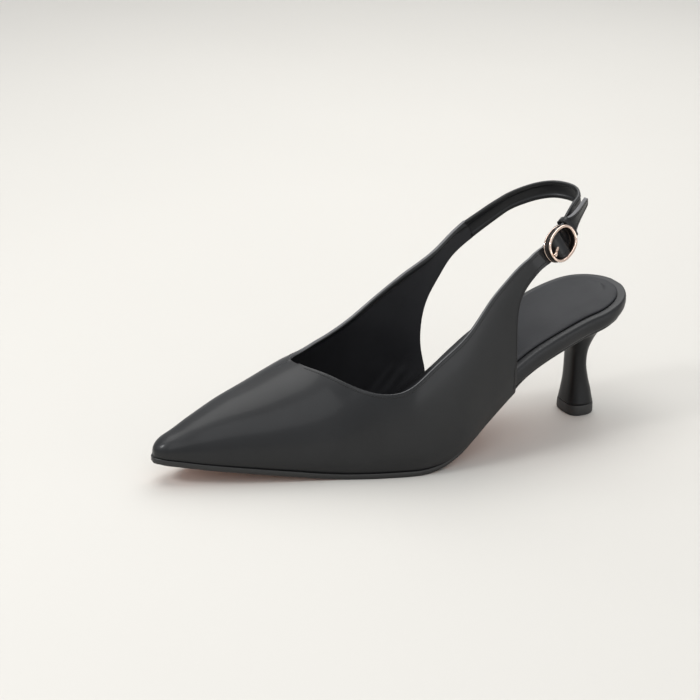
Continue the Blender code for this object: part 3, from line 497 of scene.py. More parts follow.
def along_curve(points, k, u):
    """A point of the smooth curve through points, between points k and k + 1."""
    before, start = points[max(k - 1, 0)], points[k]
    end, after = points[k + 1], points[min(k + 2, len(points) - 1)]
    return 0.5 * (2 * start + (end - before) * u
                  + (2 * before - 5 * start + 4 * end - after) * u * u
                  + (3 * start - before - 3 * end + after) * u ** 3)


def seat_outline():
    """The heel's top: the seat's edge, closed by the breast."""
    back = HEEL_SETBACK - HEEL_INSET
    depth = back - BREAST_Y
    ring = []
    for x, y in d_shape(2, depth, BREAST_Y + depth / 2):
        side = 1 if x >= 0 else -1
        if y > 0:
            reach = abs(INSOLE_EDGE.x(side, 0.0)) - HEEL_INSET
            across = math.sqrt(max(1 - (y / back) ** 2, 0))
            half = min(min(abs(x), 1) * reach, reach * across)
        else:
            half = abs(x) * (abs(INSOLE_EDGE.x(side, y)) - HEEL_INSET)
        ring.append((side * half, y))
    return ring


def heel_rings():
    rings = [[Vector((x, y, TIP_HEIGHT + GAP))
              for x, y in d_shape(HEEL_FOOT * TIP_WIDTH, HEEL_FOOT * TIP_DEPTH, 0)]]
    for up, tilt, width_of, width, depth_of, depth, middle in HEEL_SECTIONS:
        rings.append([Vector((x, y, up * HEEL_HEIGHT + tilt * y))
                      for x, y in d_shape(width_of * width, depth_of * depth, middle)])
    rings.append([Vector((x, y, underside(y) - 2 * GAP)) for x, y in seat_outline()])
    fine = []
    for k in range(len(rings) - 1):
        for step in range(HEEL_STEPS):
            fine.append([along_curve([ring[i] for ring in rings], k, step / HEEL_STEPS)
                         for i in range(HEEL_POINTS)])
    return fine + [rings[-1]]


LIGHT_PATCH = 1.25         # colour of the leather's lighter patches


def leather(name, colour, roughness, grain=1500, coat=0.0, shine=0.30):
    """Smooth calf: fine pores, faint long waves, and gloss that varies a little."""
    light = tuple(channel * LIGHT_PATCH for channel in colour)
    made = material(name, colour, roughness, tint=(60, 4, colour, light),
                    gloss=(35, 5, roughness - 0.03, roughness + 0.04),
                    relief=((140, 2, 0.00010, 0.35), (grain, None, 0.00004, 0.45)))
    fill(made.node_tree.nodes["Principled BSDF"].inputs, {
        "Specular IOR Level": shine, "Specular Tint": (0.96, 0.98, 1.0, 1),
        "Coat Weight": coat, "Coat Roughness": 0.17})
    return made


heel_leather = leather("heel leather", (0.006, 0.006, 0.0063), 0.36, shine=0.24)
piece("heel_block", loft("heel", heel_rings()), heel_leather, "heel", slot="heel")

# HEEL TIP. A hard rubber cap of the heel's own shape, pinned under it, with a fine
# seam above it and worn soft at its floor edge.
tip_rubber = material("heel tip rubber", (0.017, 0.017, 0.017), 0.55,
                      relief=((700, 3, 0.00006, 0.6),))
#   height, and width as a share of the tip's
TIP_ROWS = (
    (0, 0.90), (0, 0.955), (0.0002, 0.978), (0.0006, 0.992), (0.0012, 1.0),
    (TIP_HEIGHT - 0.0011, 0.985), (TIP_HEIGHT - 0.0004, 0.972),
    (TIP_HEIGHT - 0.0001, 0.955), (TIP_HEIGHT, 0.930),
)
tip_rings = [[Vector((x, y, height)) for x, y in d_shape(TIP_WIDTH * share,
                                                         TIP_DEPTH * share, 0)]
             for height, share in TIP_ROWS]
piece("heel_tip_cap", loft("heel tip", tip_rings), tip_rubber, "heel_tip",
      slot="heel_tip")

# INSOLE. Board and foam wrapped in black leather, thin under the forefoot and thick
# under the seat. Its edge shows behind the quarters as a soft rolled band.
INSOLE_SEAT_THICKNESS = 0.0076
INSOLE_FORE = 0.0022 / INSOLE_SEAT_THICKNESS

# Thickness of the insole, as a share of INSOLE_SEAT_THICKNESS
#   along   thickness
INSOLE_ROWS = (
    (0.000, INSOLE_FORE), (0.350, INSOLE_FORE), (0.460, 0.490), (0.570, 0.800),
    (0.680, 1.000), (0.800, 1.000), (0.918, 0.950), (0.959, 0.850), (1.000, 0.710),
)
INSOLE_SHARE = fair(INSOLE_ROWS, 1)


def insole_thickness(y):
    return INSOLE_SEAT_THICKNESS * INSOLE_SHARE(along_of(y))


def insole_height(share):
    return lambda y: lift(y, outsole_thickness(y) + GAP + share * insole_thickness(y))


def insole_edge(inset):
    """The insole's edge taken in by a share of its roll, which follows its thickness."""
    return Edge(lambda along: -inset * ROLL_SHARE * INSOLE_SEAT_THICKNESS
                * INSOLE_SHARE(along))


insole_wrap = leather("insole wrap", (0.011, 0.011, 0.0117), 0.42, shine=0.34)
ROLL_SHARE = 0.29          # depth of the roll of the insole's edge, of its thickness
#   inset   height
INSOLE_ROLL = (
    (1.60, 0.00), (1.00, 0.00), (0.64, 0.02), (0.34, 0.08), (0.12, 0.20), (0.00, 0.42),
    (0.00, 0.60), (0.04, 0.75), (0.14, 0.87), (0.32, 0.96), (0.56, 1.00), (1.10, 1.00),
)
insole_mesh = layer("insole", [(insole_edge(inset), insole_height(share))
                               for inset, share in INSOLE_ROLL])
piece("insole_wrapped", insole_mesh, insole_wrap, "insole", slot="insole")

# SOCK LINING. A padded leather sock glued on the insole, a little smaller than it, so
# its cut edge draws a dark line round the seat. It is soft and slightly crowned.
SOCK_THICKNESS = 0.0013
SOCK_INSET = 0.0045        # the sock lining stays this far inside the insole's edge
PAD, SEAT_PAD = 0.0003, 0.0007 # height of the crown, and how much fuller at the seat
PAD_START, PAD_RUN = 0.55, 0.25 # along the shoe


def sock_height(share):
    return lambda y: lift(y, outsole_thickness(y) + 2 * GAP + insole_thickness(y)
                          + share * SOCK_THICKNESS)


def sock_crown(y, across):
    """The pad: fuller under the heel, with a soft edge."""
    seat = min(max((along_of(y) - PAD_START) / PAD_RUN, 0), 1)
    return (PAD + SEAT_PAD * seat * seat * (3 - 2 * seat)) * (1 - across * across) ** 0.8


sock_leather = leather("sock leather", (0.0150, 0.0155, 0.0175), 0.50, 1200, shine=0.20)
#   inset (m), and height as a share of the thickness
SOCK_ROLL = ((0.0010, 0.0), (0.0001, 0.0), (0.0, 0.16), (0.0001, 0.32), (0.0006, 0.52),
             (0.0014, 0.69), (0.0026, 0.83), (0.0042, 0.94), (0.0060, 1.0))
sock_mesh = layer("sock lining", [
    (moved(lambda along: -SOCK_INSET, inset), sock_height(share))
    for inset, share in SOCK_ROLL], sock_crown)
piece("sock_pad", sock_mesh, sock_leather, "sock_lining", slot="sock_lining")

# UPPER. Smooth black calf with a thin lining, lasted over the insole's edge: a long
# pointed vamp, and two quarters that sweep up from a low V throat. The outer quarter
# runs on as the buckle strap. Edges are folded under and stitched close by.

# Cross sections of the upper. bulge is how far the wall swells beyond its foot and
# belly how far up, both as shares of BALL_WIDTH. crown is the height of the last's
# top from the floor, as a share of THROAT_HEIGHT, and ridge its shift to the outside
# from the middle, as a share of BALL_WIDTH. Behind the throat the crown isn't leather:
# it only sets how far the quarters lean in.
#   along   bulge          belly          crown          ridge
#           outer  inner   outer  inner   outer  inner
LAST_SECTIONS = (
    (0.000, 0.005, 0.005, 0.029, 0.029, 0.420, 0.420, 0.000),
    (0.022, 0.006, 0.006, 0.035, 0.035, 0.452, 0.452, -0.004),
    (0.071, 0.009, 0.009, 0.044, 0.044, 0.566, 0.566, -0.015),
    (0.132, 0.015, 0.013, 0.058, 0.058, 0.697, 0.697, -0.029),
    (0.198, 0.022, 0.017, 0.080, 0.072, 0.810, 0.810, -0.043),
    (0.251, 0.027, 0.020, 0.094, 0.087, 0.910, 0.910, -0.055),
    (0.280, 0.029, 0.022, 0.101, 0.087, 0.966, 0.966, -0.058),
    (0.316, 0.030, 0.022, 0.101, 0.087, 1.055, 1.020, -0.058),
    (0.353, 0.030, 0.024, 0.108, 0.100, 1.210, 1.130, -0.052),
    (0.398, 0.030, 0.026, 0.116, 0.116, 1.400, 1.290, -0.045),
    (0.443, 0.029, 0.029, 0.120, 0.145, 1.580, 1.540, -0.040),
    (0.492, 0.029, 0.035, 0.130, 0.188, 1.780, 2.000, -0.030),
    (0.566, 0.029, 0.047, 0.160, 0.320, 2.080, 3.000, -0.015),
    (0.644, 0.026, 0.070, 0.200, 0.430, 2.600, 3.800, 0.000),
    (0.705, 0.022, 0.087, 0.200, 0.460, 3.240, 4.400, 0.000),
    (0.746, 0.022, 0.087, 0.200, 0.430, 3.600, 4.800, 0.000),
)
NOSE_FOOT = 0.35           # share of the toe's height that stands straight up at the tip
NOSE_ROUND = 1.6           # length of the upper's round toe, in lengths of the insole's
BELLY_SHARE = 0.22         # share of a section's rows below its widest point
BELLY_LIMIT = 0.3          # highest widest point, of the way up to the crown
# The table's columns as curves along the shoe
SECTION = [None] + [fair(LAST_SECTIONS, column) for column in range(1, 8)]


def section(side, y):
    """The foot, widest and top points of the upper's section at y."""
    along = along_of(y)
    pick = 0 if side > 0 else 1
    nose = round_end(y - UPPER_EDGE.tip, NOSE_SHARE * LAST_LENGTH * NOSE_ROUND)
    foot_x, foot_z = UPPER_EDGE.x(side, y), lift(y, outsole_thickness(y) + GAP)
    bulge = SECTION[1 + pick](along) * BALL_WIDTH * nose
    belly = SECTION[3 + pick](along) * BALL_WIDTH
    crown = SECTION[5 + pick](along) * THROAT_HEIGHT
    crown = foot_z + (crown - foot_z) * (NOSE_FOOT + (1 - NOSE_FOOT) * nose)
    middle = (UPPER_EDGE.x(1, y) + UPPER_EDGE.x(-1, y)) / 2
    ridge_x = middle + SECTION[7](along) * BALL_WIDTH * nose
    belly = min(belly, BELLY_LIMIT * (crown - foot_z))
    return foot_x, foot_z, foot_x + side * bulge, foot_z + belly, ridge_x, crown


def last_point(side, y, t):
    """A point of the upper's outer face: t is 0 at the sole and 1 on the ridge."""
    foot_x, foot_z, wide_x, wide_z, ridge_x, crown = section(side, y)
    if t < BELLY_SHARE:
        down = 1 - t / BELLY_SHARE
        x = wide_x + (foot_x - wide_x) * down * down
        return Vector((x, y, wide_z + (foot_z - wide_z) * down))
    turn = (t - BELLY_SHARE) / (1 - BELLY_SHARE) * math.pi / 2
    x = ridge_x + (wide_x - ridge_x) * math.cos(turn)
    return Vector((x, y, wide_z + (crown - wide_z) * math.sin(turn)))


def row_at(side, y, z):
    """The t of the upper's outer face at a height."""
    foot_z, wide_z, crown = section(side, y)[1], section(side, y)[3], section(side, y)[5]
    if z < wide_z:
        return BELLY_SHARE * (z - foot_z) / (wide_z - foot_z)
    turn = math.asin(min((z - wide_z) / (crown - wide_z), 1))
    return BELLY_SHARE + (1 - BELLY_SHARE) * turn / (math.pi / 2)


# Cut edges of the quarters. height is from the floor, as a share of THROAT_HEIGHT.
THROAT_ALONG = 0.280
#   along   height
TOPLINE_OUTER = (
    (0.280, 0.966), (0.310, 0.950), (0.341, 0.898), (0.370, 0.848), (0.405, 0.816),
    (0.448, 0.853), (0.492, 1.000), (0.529, 1.126), (0.562, 1.242), (0.595, 1.396),
    (0.628, 1.580), (0.663, 1.742), (0.690, 1.855), (0.711, 1.925),
)
TOPLINE_INNER = (
    (0.280, 0.966), (0.307, 0.966), (0.340, 0.976), (0.382, 1.020), (0.423, 1.092),
    (0.464, 1.192), (0.500, 1.290), (0.532, 1.384), (0.564, 1.486), (0.642, 1.742),
    (0.666, 1.836), (0.700, 1.950),
)
#   height  along
REAR_EDGE_OUTER = (
    (0.640, 0.692), (1.000, 0.688), (1.280, 0.686), (1.480, 0.690), (1.630, 0.703),
    (1.750, 0.724),
)
REAR_EDGE_INNER = (
    (0.480, 0.618), (0.760, 0.610), (1.020, 0.612), (1.240, 0.624), (1.460, 0.650),
    (1.620, 0.676), (1.776, 0.722),
)
CORNER_OUTER = 0.590       # topline point across from the outer rear edge's foot
CORNER_INNER = 0.530       # topline point across from the inner rear edge's foot
SIDE_ROWS = 36             # rows of points from the sole up to the topline
VAMP_STEPS, QUARTER_STEPS, REAR_STEPS = 60, 64, 34
QUARTER_POWER = 1.35       # over 1, the quarter's columns are closer at the throat


def quarter_columns(side, topline, rear_edge, corner):
    """Columns of points from the sole or the rear edge up to the topline."""
    top_height, rear_along = smooth(topline, 1), smooth(rear_edge, 1)
    end, foot_along = topline[-1][0], rear_edge[0][1]
    columns = []
    for k in range(1, QUARTER_STEPS + REAR_STEPS + 1):
        if k <= QUARTER_STEPS:
            share = (k / QUARTER_STEPS) ** QUARTER_POWER
            low_y, low_t = y_of(THROAT_ALONG + share * (foot_along - THROAT_ALONG)), 0
            high = THROAT_ALONG + share * (corner - THROAT_ALONG)
        else:
            share = (k - QUARTER_STEPS) / REAR_STEPS
            foot_height = section(side, y_of(foot_along))[1] / THROAT_HEIGHT
            height = foot_height + share * (rear_edge[-1][0] - foot_height)
            low_y = y_of(rear_along(height))
            low_t = row_at(side, low_y, height * THROAT_HEIGHT)
            high = corner + share * (end - corner)
        high_y = y_of(high)
        high_t = row_at(side, high_y, top_height(high) * THROAT_HEIGHT)
        columns.append([
            last_point(side, low_y + (high_y - low_y) * j / SIDE_ROWS,
                       low_t + (high_t - low_t) * j / SIDE_ROWS)
            for j in range(SIDE_ROWS + 1)])
    return columns


# Sizes of the straps and the buckle, the place of the buckle's middle, and its three
# ways: RUN along the strap, ACROSS it, and OUT from the foot.
ANKLE_HALF = 0.0280        # middle of the loop to the strap at its widest
SLING_HEIGHT = 0.1120      # floor to the middle of the strap behind the ankle
SLING_THICKNESS = 0.0010
SLING_WIDTH = 0.0092
BUCKLE_STRAP_WIDTH = 0.0086
TAIL_LENGTH = 0.0288       # strap end beyond the buckle's bar
RING_LENGTH = 0.0193       # buckle along the strap
RING_WIDTH = 0.0151        # buckle across the strap
RING_FRAME = 0.0015        # width of the ring's metal
RING_DEPTH = 0.0046        # depth of the ring's metal
BAR_RADIUS = 0.0006
EASE = 0.00015             # between the layers that wrap the buckle's bar
BUCKLE_CENTRE = Vector((1.026 * ANKLE_HALF, -0.1360 * SHOE_LENGTH, 0.901 * SLING_HEIGHT))
BUCKLE_YAW = math.radians(15.0)
BUCKLE_TILT = math.radians(18.0)
BUCKLE_RISE = math.radians(28.5)
BAR_OUT = -0.5 * RING_DEPTH
OUT = Vector((math.cos(BUCKLE_TILT) * math.cos(BUCKLE_YAW),
              math.cos(BUCKLE_TILT) * math.sin(BUCKLE_YAW), math.sin(BUCKLE_TILT)))
level = Vector((-math.sin(BUCKLE_YAW), math.cos(BUCKLE_YAW), 0))
RUN = math.cos(BUCKLE_RISE) * level + math.sin(BUCKLE_RISE) * OUT.cross(level)
ACROSS = OUT.cross(RUN)


def at_buckle(run, across, out):
    return BUCKLE_CENTRE + RUN * run + ACROSS * across + OUT * out


STRAP_UNDER = -(RING_DEPTH / 2 + GAP)
STRAP_OVER = BAR_OUT + BAR_RADIUS + SLING_THICKNESS + 2 * EASE + UPPER_WALL

# Buckle strap from the quarter to its end. run and across are shares of RING_LENGTH,
# rise goes from 0 under the frame to 1 over the bar, twist is in degrees, and width a
# share of BUCKLE_STRAP_WIDTH.
#   run     across rise   twist width
BUCKLE_STRAP = (
    (-0.660, 0.045, -0.12, 0, 1.00),
    (-0.560, 0.034, -0.03, 0, 1.00),
    (-0.460, 0.014, 0.00, 0, 1.00),
    (-0.400, 0.005, 0.00, 0, 1.00),
    (-0.350, 0.002, 0.04, 0, 1.00),
    (-0.300, 0.000, 0.26, 0, 1.03),
    (-0.250, 0.000, 0.60, 0, 1.12),
    (-0.195, 0.000, 0.85, 0, 1.21),
    (-0.130, 0.000, 0.96, 0, 1.29),
    (-0.065, 0.000, 0.99, 0, 1.33),
    (0.000, 0.000, 1.00, 0, 1.34),
    (0.055, 0.000, 0.96, 0, 1.33),
    (0.110, 0.000, 0.83, 0, 1.29),
    (0.165, 0.000, 0.60, 0, 1.21),
    (0.225, 0.000, 0.28, 0, 1.11),
    (0.285, 0.000, 0.06, 0, 1.03),
    (0.350, 0.000, 0.01, 0, 1.00),
    (0.440, 0.000, 0.00, 0, 1.00),
    (0.540, 0.000, 0.00, 0, 1.00),
    (0.700, 0.006, 0.00, 0, 1.00),
    (0.800, 0.012, 0.05, 15, 0.98),
    (0.920, 0.030, 0.14, 26, 0.96),
    (1.100, 0.062, 0.22, 33, 0.92),
    (1.300, 0.102, 0.26, 36, 0.87),
)
TAIL_END_ACROSS = 0.138    # share of RING_LENGTH
TAIL_END_RISE = 0.28
TAIL_END_TWIST = 37
TAIL_END_WIDTH = 0.72
STRAP_STEPS = 110
# The leather is a little wider where the frame presses it, most where it dips to the
# keeper. Places and reaches are shares of RING_LENGTH.
STRAP_SWELL, SWELL_RUN, SWELL_REACH = 0.0016, 0.27, 0.16
STRAP_SPREAD, SPREAD_REACH = 0.0005, 0.38
TAIL_ROUND, TAIL_POINT = 0.0016, 0.72 # length of the strap's round end, and its width


def around(items, k):
    """The items before and after one of a list; at an end the item itself is one."""
    return items[max(k - 1, 0)], items[min(k + 1, len(items) - 1)]


def run_at(points, k):
    before, after = around(points, k)
    return after - before


def buckle_strap_columns():
    rows = list(BUCKLE_STRAP)
    rows.append((TAIL_LENGTH / RING_LENGTH, TAIL_END_ACROSS, TAIL_END_RISE,
                 TAIL_END_TWIST, TAIL_END_WIDTH))
    across_of, rise_of, twist_of, width_of = (fair(rows, column) for column in (1, 2, 3, 4))
    runs = [rows[0][0] + (rows[-1][0] - rows[0][0]) * k / STRAP_STEPS
            for k in range(STRAP_STEPS + 1)]
    middles = [at_buckle(run * RING_LENGTH, across_of(run) * RING_LENGTH,
                         STRAP_UNDER + rise_of(run) * (STRAP_OVER - STRAP_UNDER))
               for run in runs]
    columns = []
    for k, middle in enumerate(middles):
        step = run_at(middles, k)
        turn = step.dot(ACROSS) / max(step.dot(RUN), 1e-6)
        side = (ACROSS - RUN * turn).normalized()
        side += OUT * math.tan(math.radians(twist_of(runs[k])))
        half = width_of(runs[k]) * BUCKLE_STRAP_WIDTH / 2
        half += STRAP_SWELL * max(0, 1 - ((runs[k] - SWELL_RUN) / SWELL_REACH) ** 2)
        half += STRAP_SPREAD * max(0, 1 - (runs[k] / SPREAD_REACH) ** 4)
        tail = round_end((runs[-1] - runs[k]) * RING_LENGTH, TAIL_ROUND)
        half *= TAIL_POINT + (1 - TAIL_POINT) * tail
        side = side.normalized() * half
        columns.append([middle + side * (2 * j / SIDE_ROWS - 1)
                        for j in range(SIDE_ROWS + 1)])
    return columns


def bridge(before, last, first, after, steps):
    """Columns that run smoothly from one sheet's end to the next one's start."""
    columns = []
    for k in range(1, steps):
        u = k / steps
        column = []
        for a, b, c, d in zip(before, last, first, after):
            reach = (c - b).length
            leave, reach_in = (b - a).normalized() * reach, (d - c).normalized() * reach
            column.append(b * (2 * u ** 3 - 3 * u * u + 1) + leave * (u ** 3 - 2 * u * u + u)
                          + c * (3 * u * u - 2 * u ** 3) + reach_in * (u ** 3 - u * u))
        columns.append(column)
    return columns


def vamp_columns(side):
    tip, throat = UPPER_EDGE.tip, y_of(THROAT_ALONG)
    columns = []
    for k in range(VAMP_STEPS + 1):
        y = tip + (throat - tip) * (1 - math.cos(math.pi / 2 * k / VAMP_STEPS))
        columns.append([last_point(side, y, j / SIDE_ROWS) for j in range(SIDE_ROWS + 1)])
    return columns


outer_quarter = quarter_columns(1, TOPLINE_OUTER, REAR_EDGE_OUTER, CORNER_OUTER)
inner_quarter = quarter_columns(-1, TOPLINE_INNER, REAR_EDGE_INNER, CORNER_INNER)
strap = buckle_strap_columns()
join = bridge(outer_quarter[-2], outer_quarter[-1], strap[0], strap[1], 14)
outer_sheet = vamp_columns(1) + outer_quarter + join + strap
inner_sheet = vamp_columns(-1) + inner_quarter
points, faces = [], []
add_sheet(points, faces, outer_sheet)
add_sheet(points, faces, inner_sheet)
calf = leather("black calf", (0.0078, 0.008, 0.0086), 0.43, coat=0.20, shine=0.28)
lining = leather("lining", (0.020, 0.020, 0.022), 0.55, 900)
# The upper's cut edges are a light grey that stands in for the highlight along them: a
# painted highlight.
rim_painted_highlight = leather("folded rim painted highlight", (0.120, 0.120, 0.124), 0.40)
upper_mesh = mesh_of("upper", points, faces)
dress(upper_mesh, calf, lining, rim_painted_highlight)
# the sheet's faces point out from the foot, as one on the outer flank shows
FLANK = Vector((0.04, -0.11, 0.02))
checked = min(upper_mesh.polygons, key=lambda face: (face.center - FLANK).length)
if checked.normal.x < 0:
    upper_mesh.flip_normals()
upper = piece("upper_leather", upper_mesh, None, "upper", slot="upper")
wall = upper.modifiers.new("wall", "SOLIDIFY")
wall.thickness = UPPER_WALL
wall.offset = -1
wall.use_even_offset = True
wall.material_offset = 1
# the rim faces take the light grey of the painted highlight
wall.material_offset_rim = 2
fold = upper.modifiers.new("folded edge", "BEVEL")
fold.width = 0.0005
fold.segments = 3
fold.limit_method = "ANGLE"
fold.angle_limit = math.radians(55)
# the modifiers are made part of the mesh, so that the lining's folds can follow
graph = bpy.context.evaluated_depsgraph_get()
walled = bpy.data.meshes.new_from_object(upper.evaluated_get(graph))
upper.modifiers.clear()
upper.data = walled

# Soft wrinkles of the loose lining inside the inner quarter, as ridges along lines.
#   from                          to                             height
LINING_FOLDS = (
    ((-0.0310, -0.0990, 0.0130), (-0.0305, -0.0905, 0.0240), 0.0005),
    ((-0.0320, -0.1030, 0.0160), (-0.0312, -0.0955, 0.0275), 0.0004),
    ((-0.0300, -0.0925, 0.0125), (-0.0292, -0.0845, 0.0230), 0.0005),
    ((-0.0325, -0.1080, 0.0150), (-0.0318, -0.1015, 0.0240), 0.0003),
    ((-0.0290, -0.0865, 0.0130), (-0.0280, -0.0800, 0.0195), 0.0003),
)
FOLD_SPREAD = 0.0017


def fold_height(point):
    height = 0
    for start, end, rise in LINING_FOLDS:
        start, line = Vector(start), Vector(end) - Vector(start)
        share = min(max((point - start).dot(line) / line.length_squared, 0), 1)
        away = (point - start - line * share).length / FOLD_SPREAD
        height += rise * math.exp(-away * away)
    return height


lining_points = {k for face in walled.polygons if face.material_index == 1
                 for k in face.vertices}
for k in lining_points:
    walled.vertices[k].co.x += fold_height(walled.vertices[k].co)
walled.shade_smooth()

STITCH_PITCH = 0.0013
STITCH_LENGTH = 0.0010
THREAD_RADIUS = 0.00017
THREAD_FLAT = 1.5          # the thread is this much wider than it is high
EDGE_TO_STITCH = 0.0016    # stitch line to the folded edge
#   place (of its length), width, rise (of THREAD_RADIUS)
STITCH_ROWS = ((-0.50, 0.35, -0.5), (-0.34, 1.0, 0.25), (0.34, 1.0, 0.25),
               (0.50, 0.35, -0.5))


def inset_point(column, distance, from_end):
    """The point of a column at a distance along it from one of its ends."""
    walk = list(reversed(column)) if from_end else column
    for a, b in zip(walk, walk[1:]):
        step = (b - a).length
        if step >= distance:
            return a.lerp(b, distance / step)
        distance -= step
    return walk[-1]


def add_stitches(points, faces, path, outward):
    """Tonal stitches pressed into the leather along a path."""
    spent, due = 0.0, STITCH_PITCH / 2
    for k, (start, end) in enumerate(zip(path, path[1:])):
        step, run = (end - start).length, (end - start).normalized()
        while step > 0 and due <= spent + step:
            share = (due - spent) / step
            middle = start.lerp(end, share)
            out = outward[k].lerp(outward[k + 1], share).normalized()
            side = run.cross(out).normalized()
            rings = []
            for at, width, sink in STITCH_ROWS:
                rings.append([middle + run * at * STITCH_LENGTH
                              + (side * THREAD_FLAT * math.cos(turn) + out * math.sin(turn))
                              * THREAD_RADIUS * width + out * sink * THREAD_RADIUS
                              for turn in (math.pi * i / 3 for i in range(6))])
            add_tube(points, faces, rings)
            due += STITCH_PITCH
        spent += step


def sew(name, seams):
    """Stitches along edges of sheets, as one piece.

    A seam is a sheet's columns, whether its edge is at their ends, and 1 or -1 for the
    side that the leather faces.
    """
    points, faces = [], []
    for columns, from_end, flip in seams:
        path = [inset_point(column, EDGE_TO_STITCH, from_end) for column in columns]
        outward = []
        for k, column in enumerate(columns):
            end = column[-1] - column[-3] if from_end else column[2] - column[0]
            outward.append(run_at(path, k).cross(end).normalized() * flip)
        add_stitches(points, faces, path, outward)
    return piece(name, raw_mesh(name, points, faces), thread)


thread = material("black thread", (0.005, 0.005, 0.005), 0.7)


def inward_at(columns, k, edge):
    """The way through a sheet at a column, from the run of one of the sheet's edges."""
    before, after = around(columns, k)
    run = after[edge] - before[edge]
    return run.cross(columns[k][-1] - columns[k][0]).normalized()


def other_face(columns, depth, edge):
    """A sheet's columns moved through its wall."""
    return [[point + inward_at(columns, k, edge) * depth for point in column]
            for k, column in enumerate(columns)]


SEAM_START = 4             # the seams leave out the columns nearest the throat
outer_top = outer_quarter[SEAM_START:] + join + strap[:-2]
outer_back = outer_quarter[QUARTER_STEPS:] + join + strap[:-2]
sew("upper_stitches", (
    (outer_top, True, 1), (outer_back, False, 1),
    (inner_quarter[SEAM_START:], True, -1), (inner_quarter[QUARTER_STEPS:], False, -1)))

# The calf is turned over the topline and glued down inside, where it stands a little
# proud of the lining.
TURNED_WIDTH = 0.0030
TURNED_PROUD = 0.0006
TURNED_START = 0.0002      # below the very edge
#   down, and out as a share of TURNED_PROUD
TURNED_ROWS = ((0.0, -0.5), (0.0003, 0.5), (0.0009, 0.9), (0.0015, 1.0),
               (TURNED_WIDTH - 0.00015, 1.0), (TURNED_WIDTH, 0.6), (TURNED_WIDTH, -0.5))


def turned_edge(name, columns, flip):
    """The leather turned in along the top of a quarter, over the columns given."""
    inside = other_face(columns, flip * UPPER_WALL, -1)
    rings = []
    for k, column in enumerate(inside):
        inward = inward_at(inside, k, -1) * flip
        rings.append([inset_point(column, down + TURNED_START, True)
                      + inward * out * TURNED_PROUD for down, out in TURNED_ROWS])
    return piece(name, loft(name, rings), calf)


turned_edge("inner_turned_edge", inner_quarter[1:], 1)
turned_edge("outer_turned_edge", outer_quarter[1:], -1)

# SLING STRAP. A folded leather strap sewn to the inner quarter's end. It goes round
# behind the ankle, through the keeper and round the buckle's bar.
SLING_BACK = -0.0073       # Y of the strap behind the ankle
SLING_UNDER = STRAP_UNDER - UPPER_WALL - GAP - SLING_THICKNESS / 2
FOLD_UNDER = SLING_UNDER - SLING_THICKNESS - EASE
# Middle line of the sling strap behind the ankle, from the inner quarter to the
# buckle. side is a share of ANKLE_HALF, back a share of SHOE_LENGTH from the strap's
# rearmost point, up a share of SLING_HEIGHT.
#   side    back    up
SLING_LOOP = (
    (-0.925, 0.1270, 0.915),
    (-0.865, 0.0980, 0.952),
    (-0.770, 0.0690, 0.981),
    (-0.640, 0.0430, 1.003),
    (-0.470, 0.0210, 1.016),
    (-0.240, 0.0050, 1.018),
    (0.000, 0.0000, 1.012),
    (0.230, 0.0110, 0.997),
    (0.430, 0.0360, 0.980),
)
SLING_LEAN = 0.20          # how far its upper edge leans in, over its width
# The same strap at the buckle, then folded round the bar and back on its inner side.
# run is a share of RING_LENGTH, drop goes from 0 at the fold to 1 at its full depth.
SLING_AT_BUCKLE = (
    (0.720, 1.04), (0.600, 1.00), (0.480, 1.00), (0.360, 1.00), (0.285, 0.99),
    (0.225, 0.90), (0.170, 0.66), (0.108, 0.30),
)
SLING_RETURN = (
    (0.049, 0.08), (0.107, 0.40), (0.166, 0.79), (0.224, 0.99), (0.293, 1.00),
    (0.390, 1.00), (0.459, 1.00),
)
FOLD_RADIUS = BAR_RADIUS + EASE + SLING_THICKNESS / 2
FOLD_START = math.radians(45)
FOLD_STEPS = 9
# Rows across the strap, as shares of its width. The outer leather is turned over both
# edges and stands a little proud of the lining between them.
#   share   turned
STRIP_HALF = (
    (0.000, 1.0), (0.060, 1.0), (0.120, 1.0), (0.180, 1.0), (0.205, 0.8), (0.225, 0.0),
    (0.330, -0.3), (0.440, -0.4),
)
STRIP_ROWS = STRIP_HALF + tuple((1 - share, turned) for share, turned in STRIP_HALF[::-1])
TURNED_EDGE = 0.0005
EDGE_REACH = 0.5           # how far an edge's rows stand out, of half the thickness
#   away from the edge and down through it, of half the thickness
EDGE_ROUND = ((0.15, 0.3), (0.0, 1.0), (0.15, 1.7))
CENTRE_BACK = 0.16         # middle of the loop, in front of its back, of SHOE_LENGTH
LOOP_STEPS, BUCKLE_STEPS = 12, 4 # columns between two rows of a table
EASE_COLUMNS = 24          # over which the strap takes its own width and thickness
BOW_COLUMNS = 18           # over which it loses the quarter's bow


def strip(name, columns, thicknesses):
    """A strap with rounded edges over columns of points of its outer face."""
    rings = []
    for k, column in enumerate(columns):
        half = thicknesses[k] / 2 + TURNED_EDGE / 2
        across = (column[-1] - column[0]).normalized()
        before, after = around(columns, k)
        outside, inside, inwards = [], [], []
        for j, (share, turned) in enumerate(STRIP_ROWS):
            run, side = (after[j] - before[j]).normalized(), run_at(column, j).normalized()
            inward = run.cross(side).normalized()
            reach = half * EDGE_REACH * {0: 1, len(column) - 1: -1}.get(j, 0)
            deep = thicknesses[k] + TURNED_EDGE * turned
            outside.append(column[j] + across * reach)
            inside.append(column[j] + inward * deep + across * reach)
            inwards.append(inward)
        top, low = ([column[j] + across * half * away * way + inwards[j] * half * down
                     for away, down in EDGE_ROUND[::-way]] for j, way in ((-1, -1), (0, 1)))
        rings.append(outside + top + inside[::-1] + low)
    return loft(name, rings)


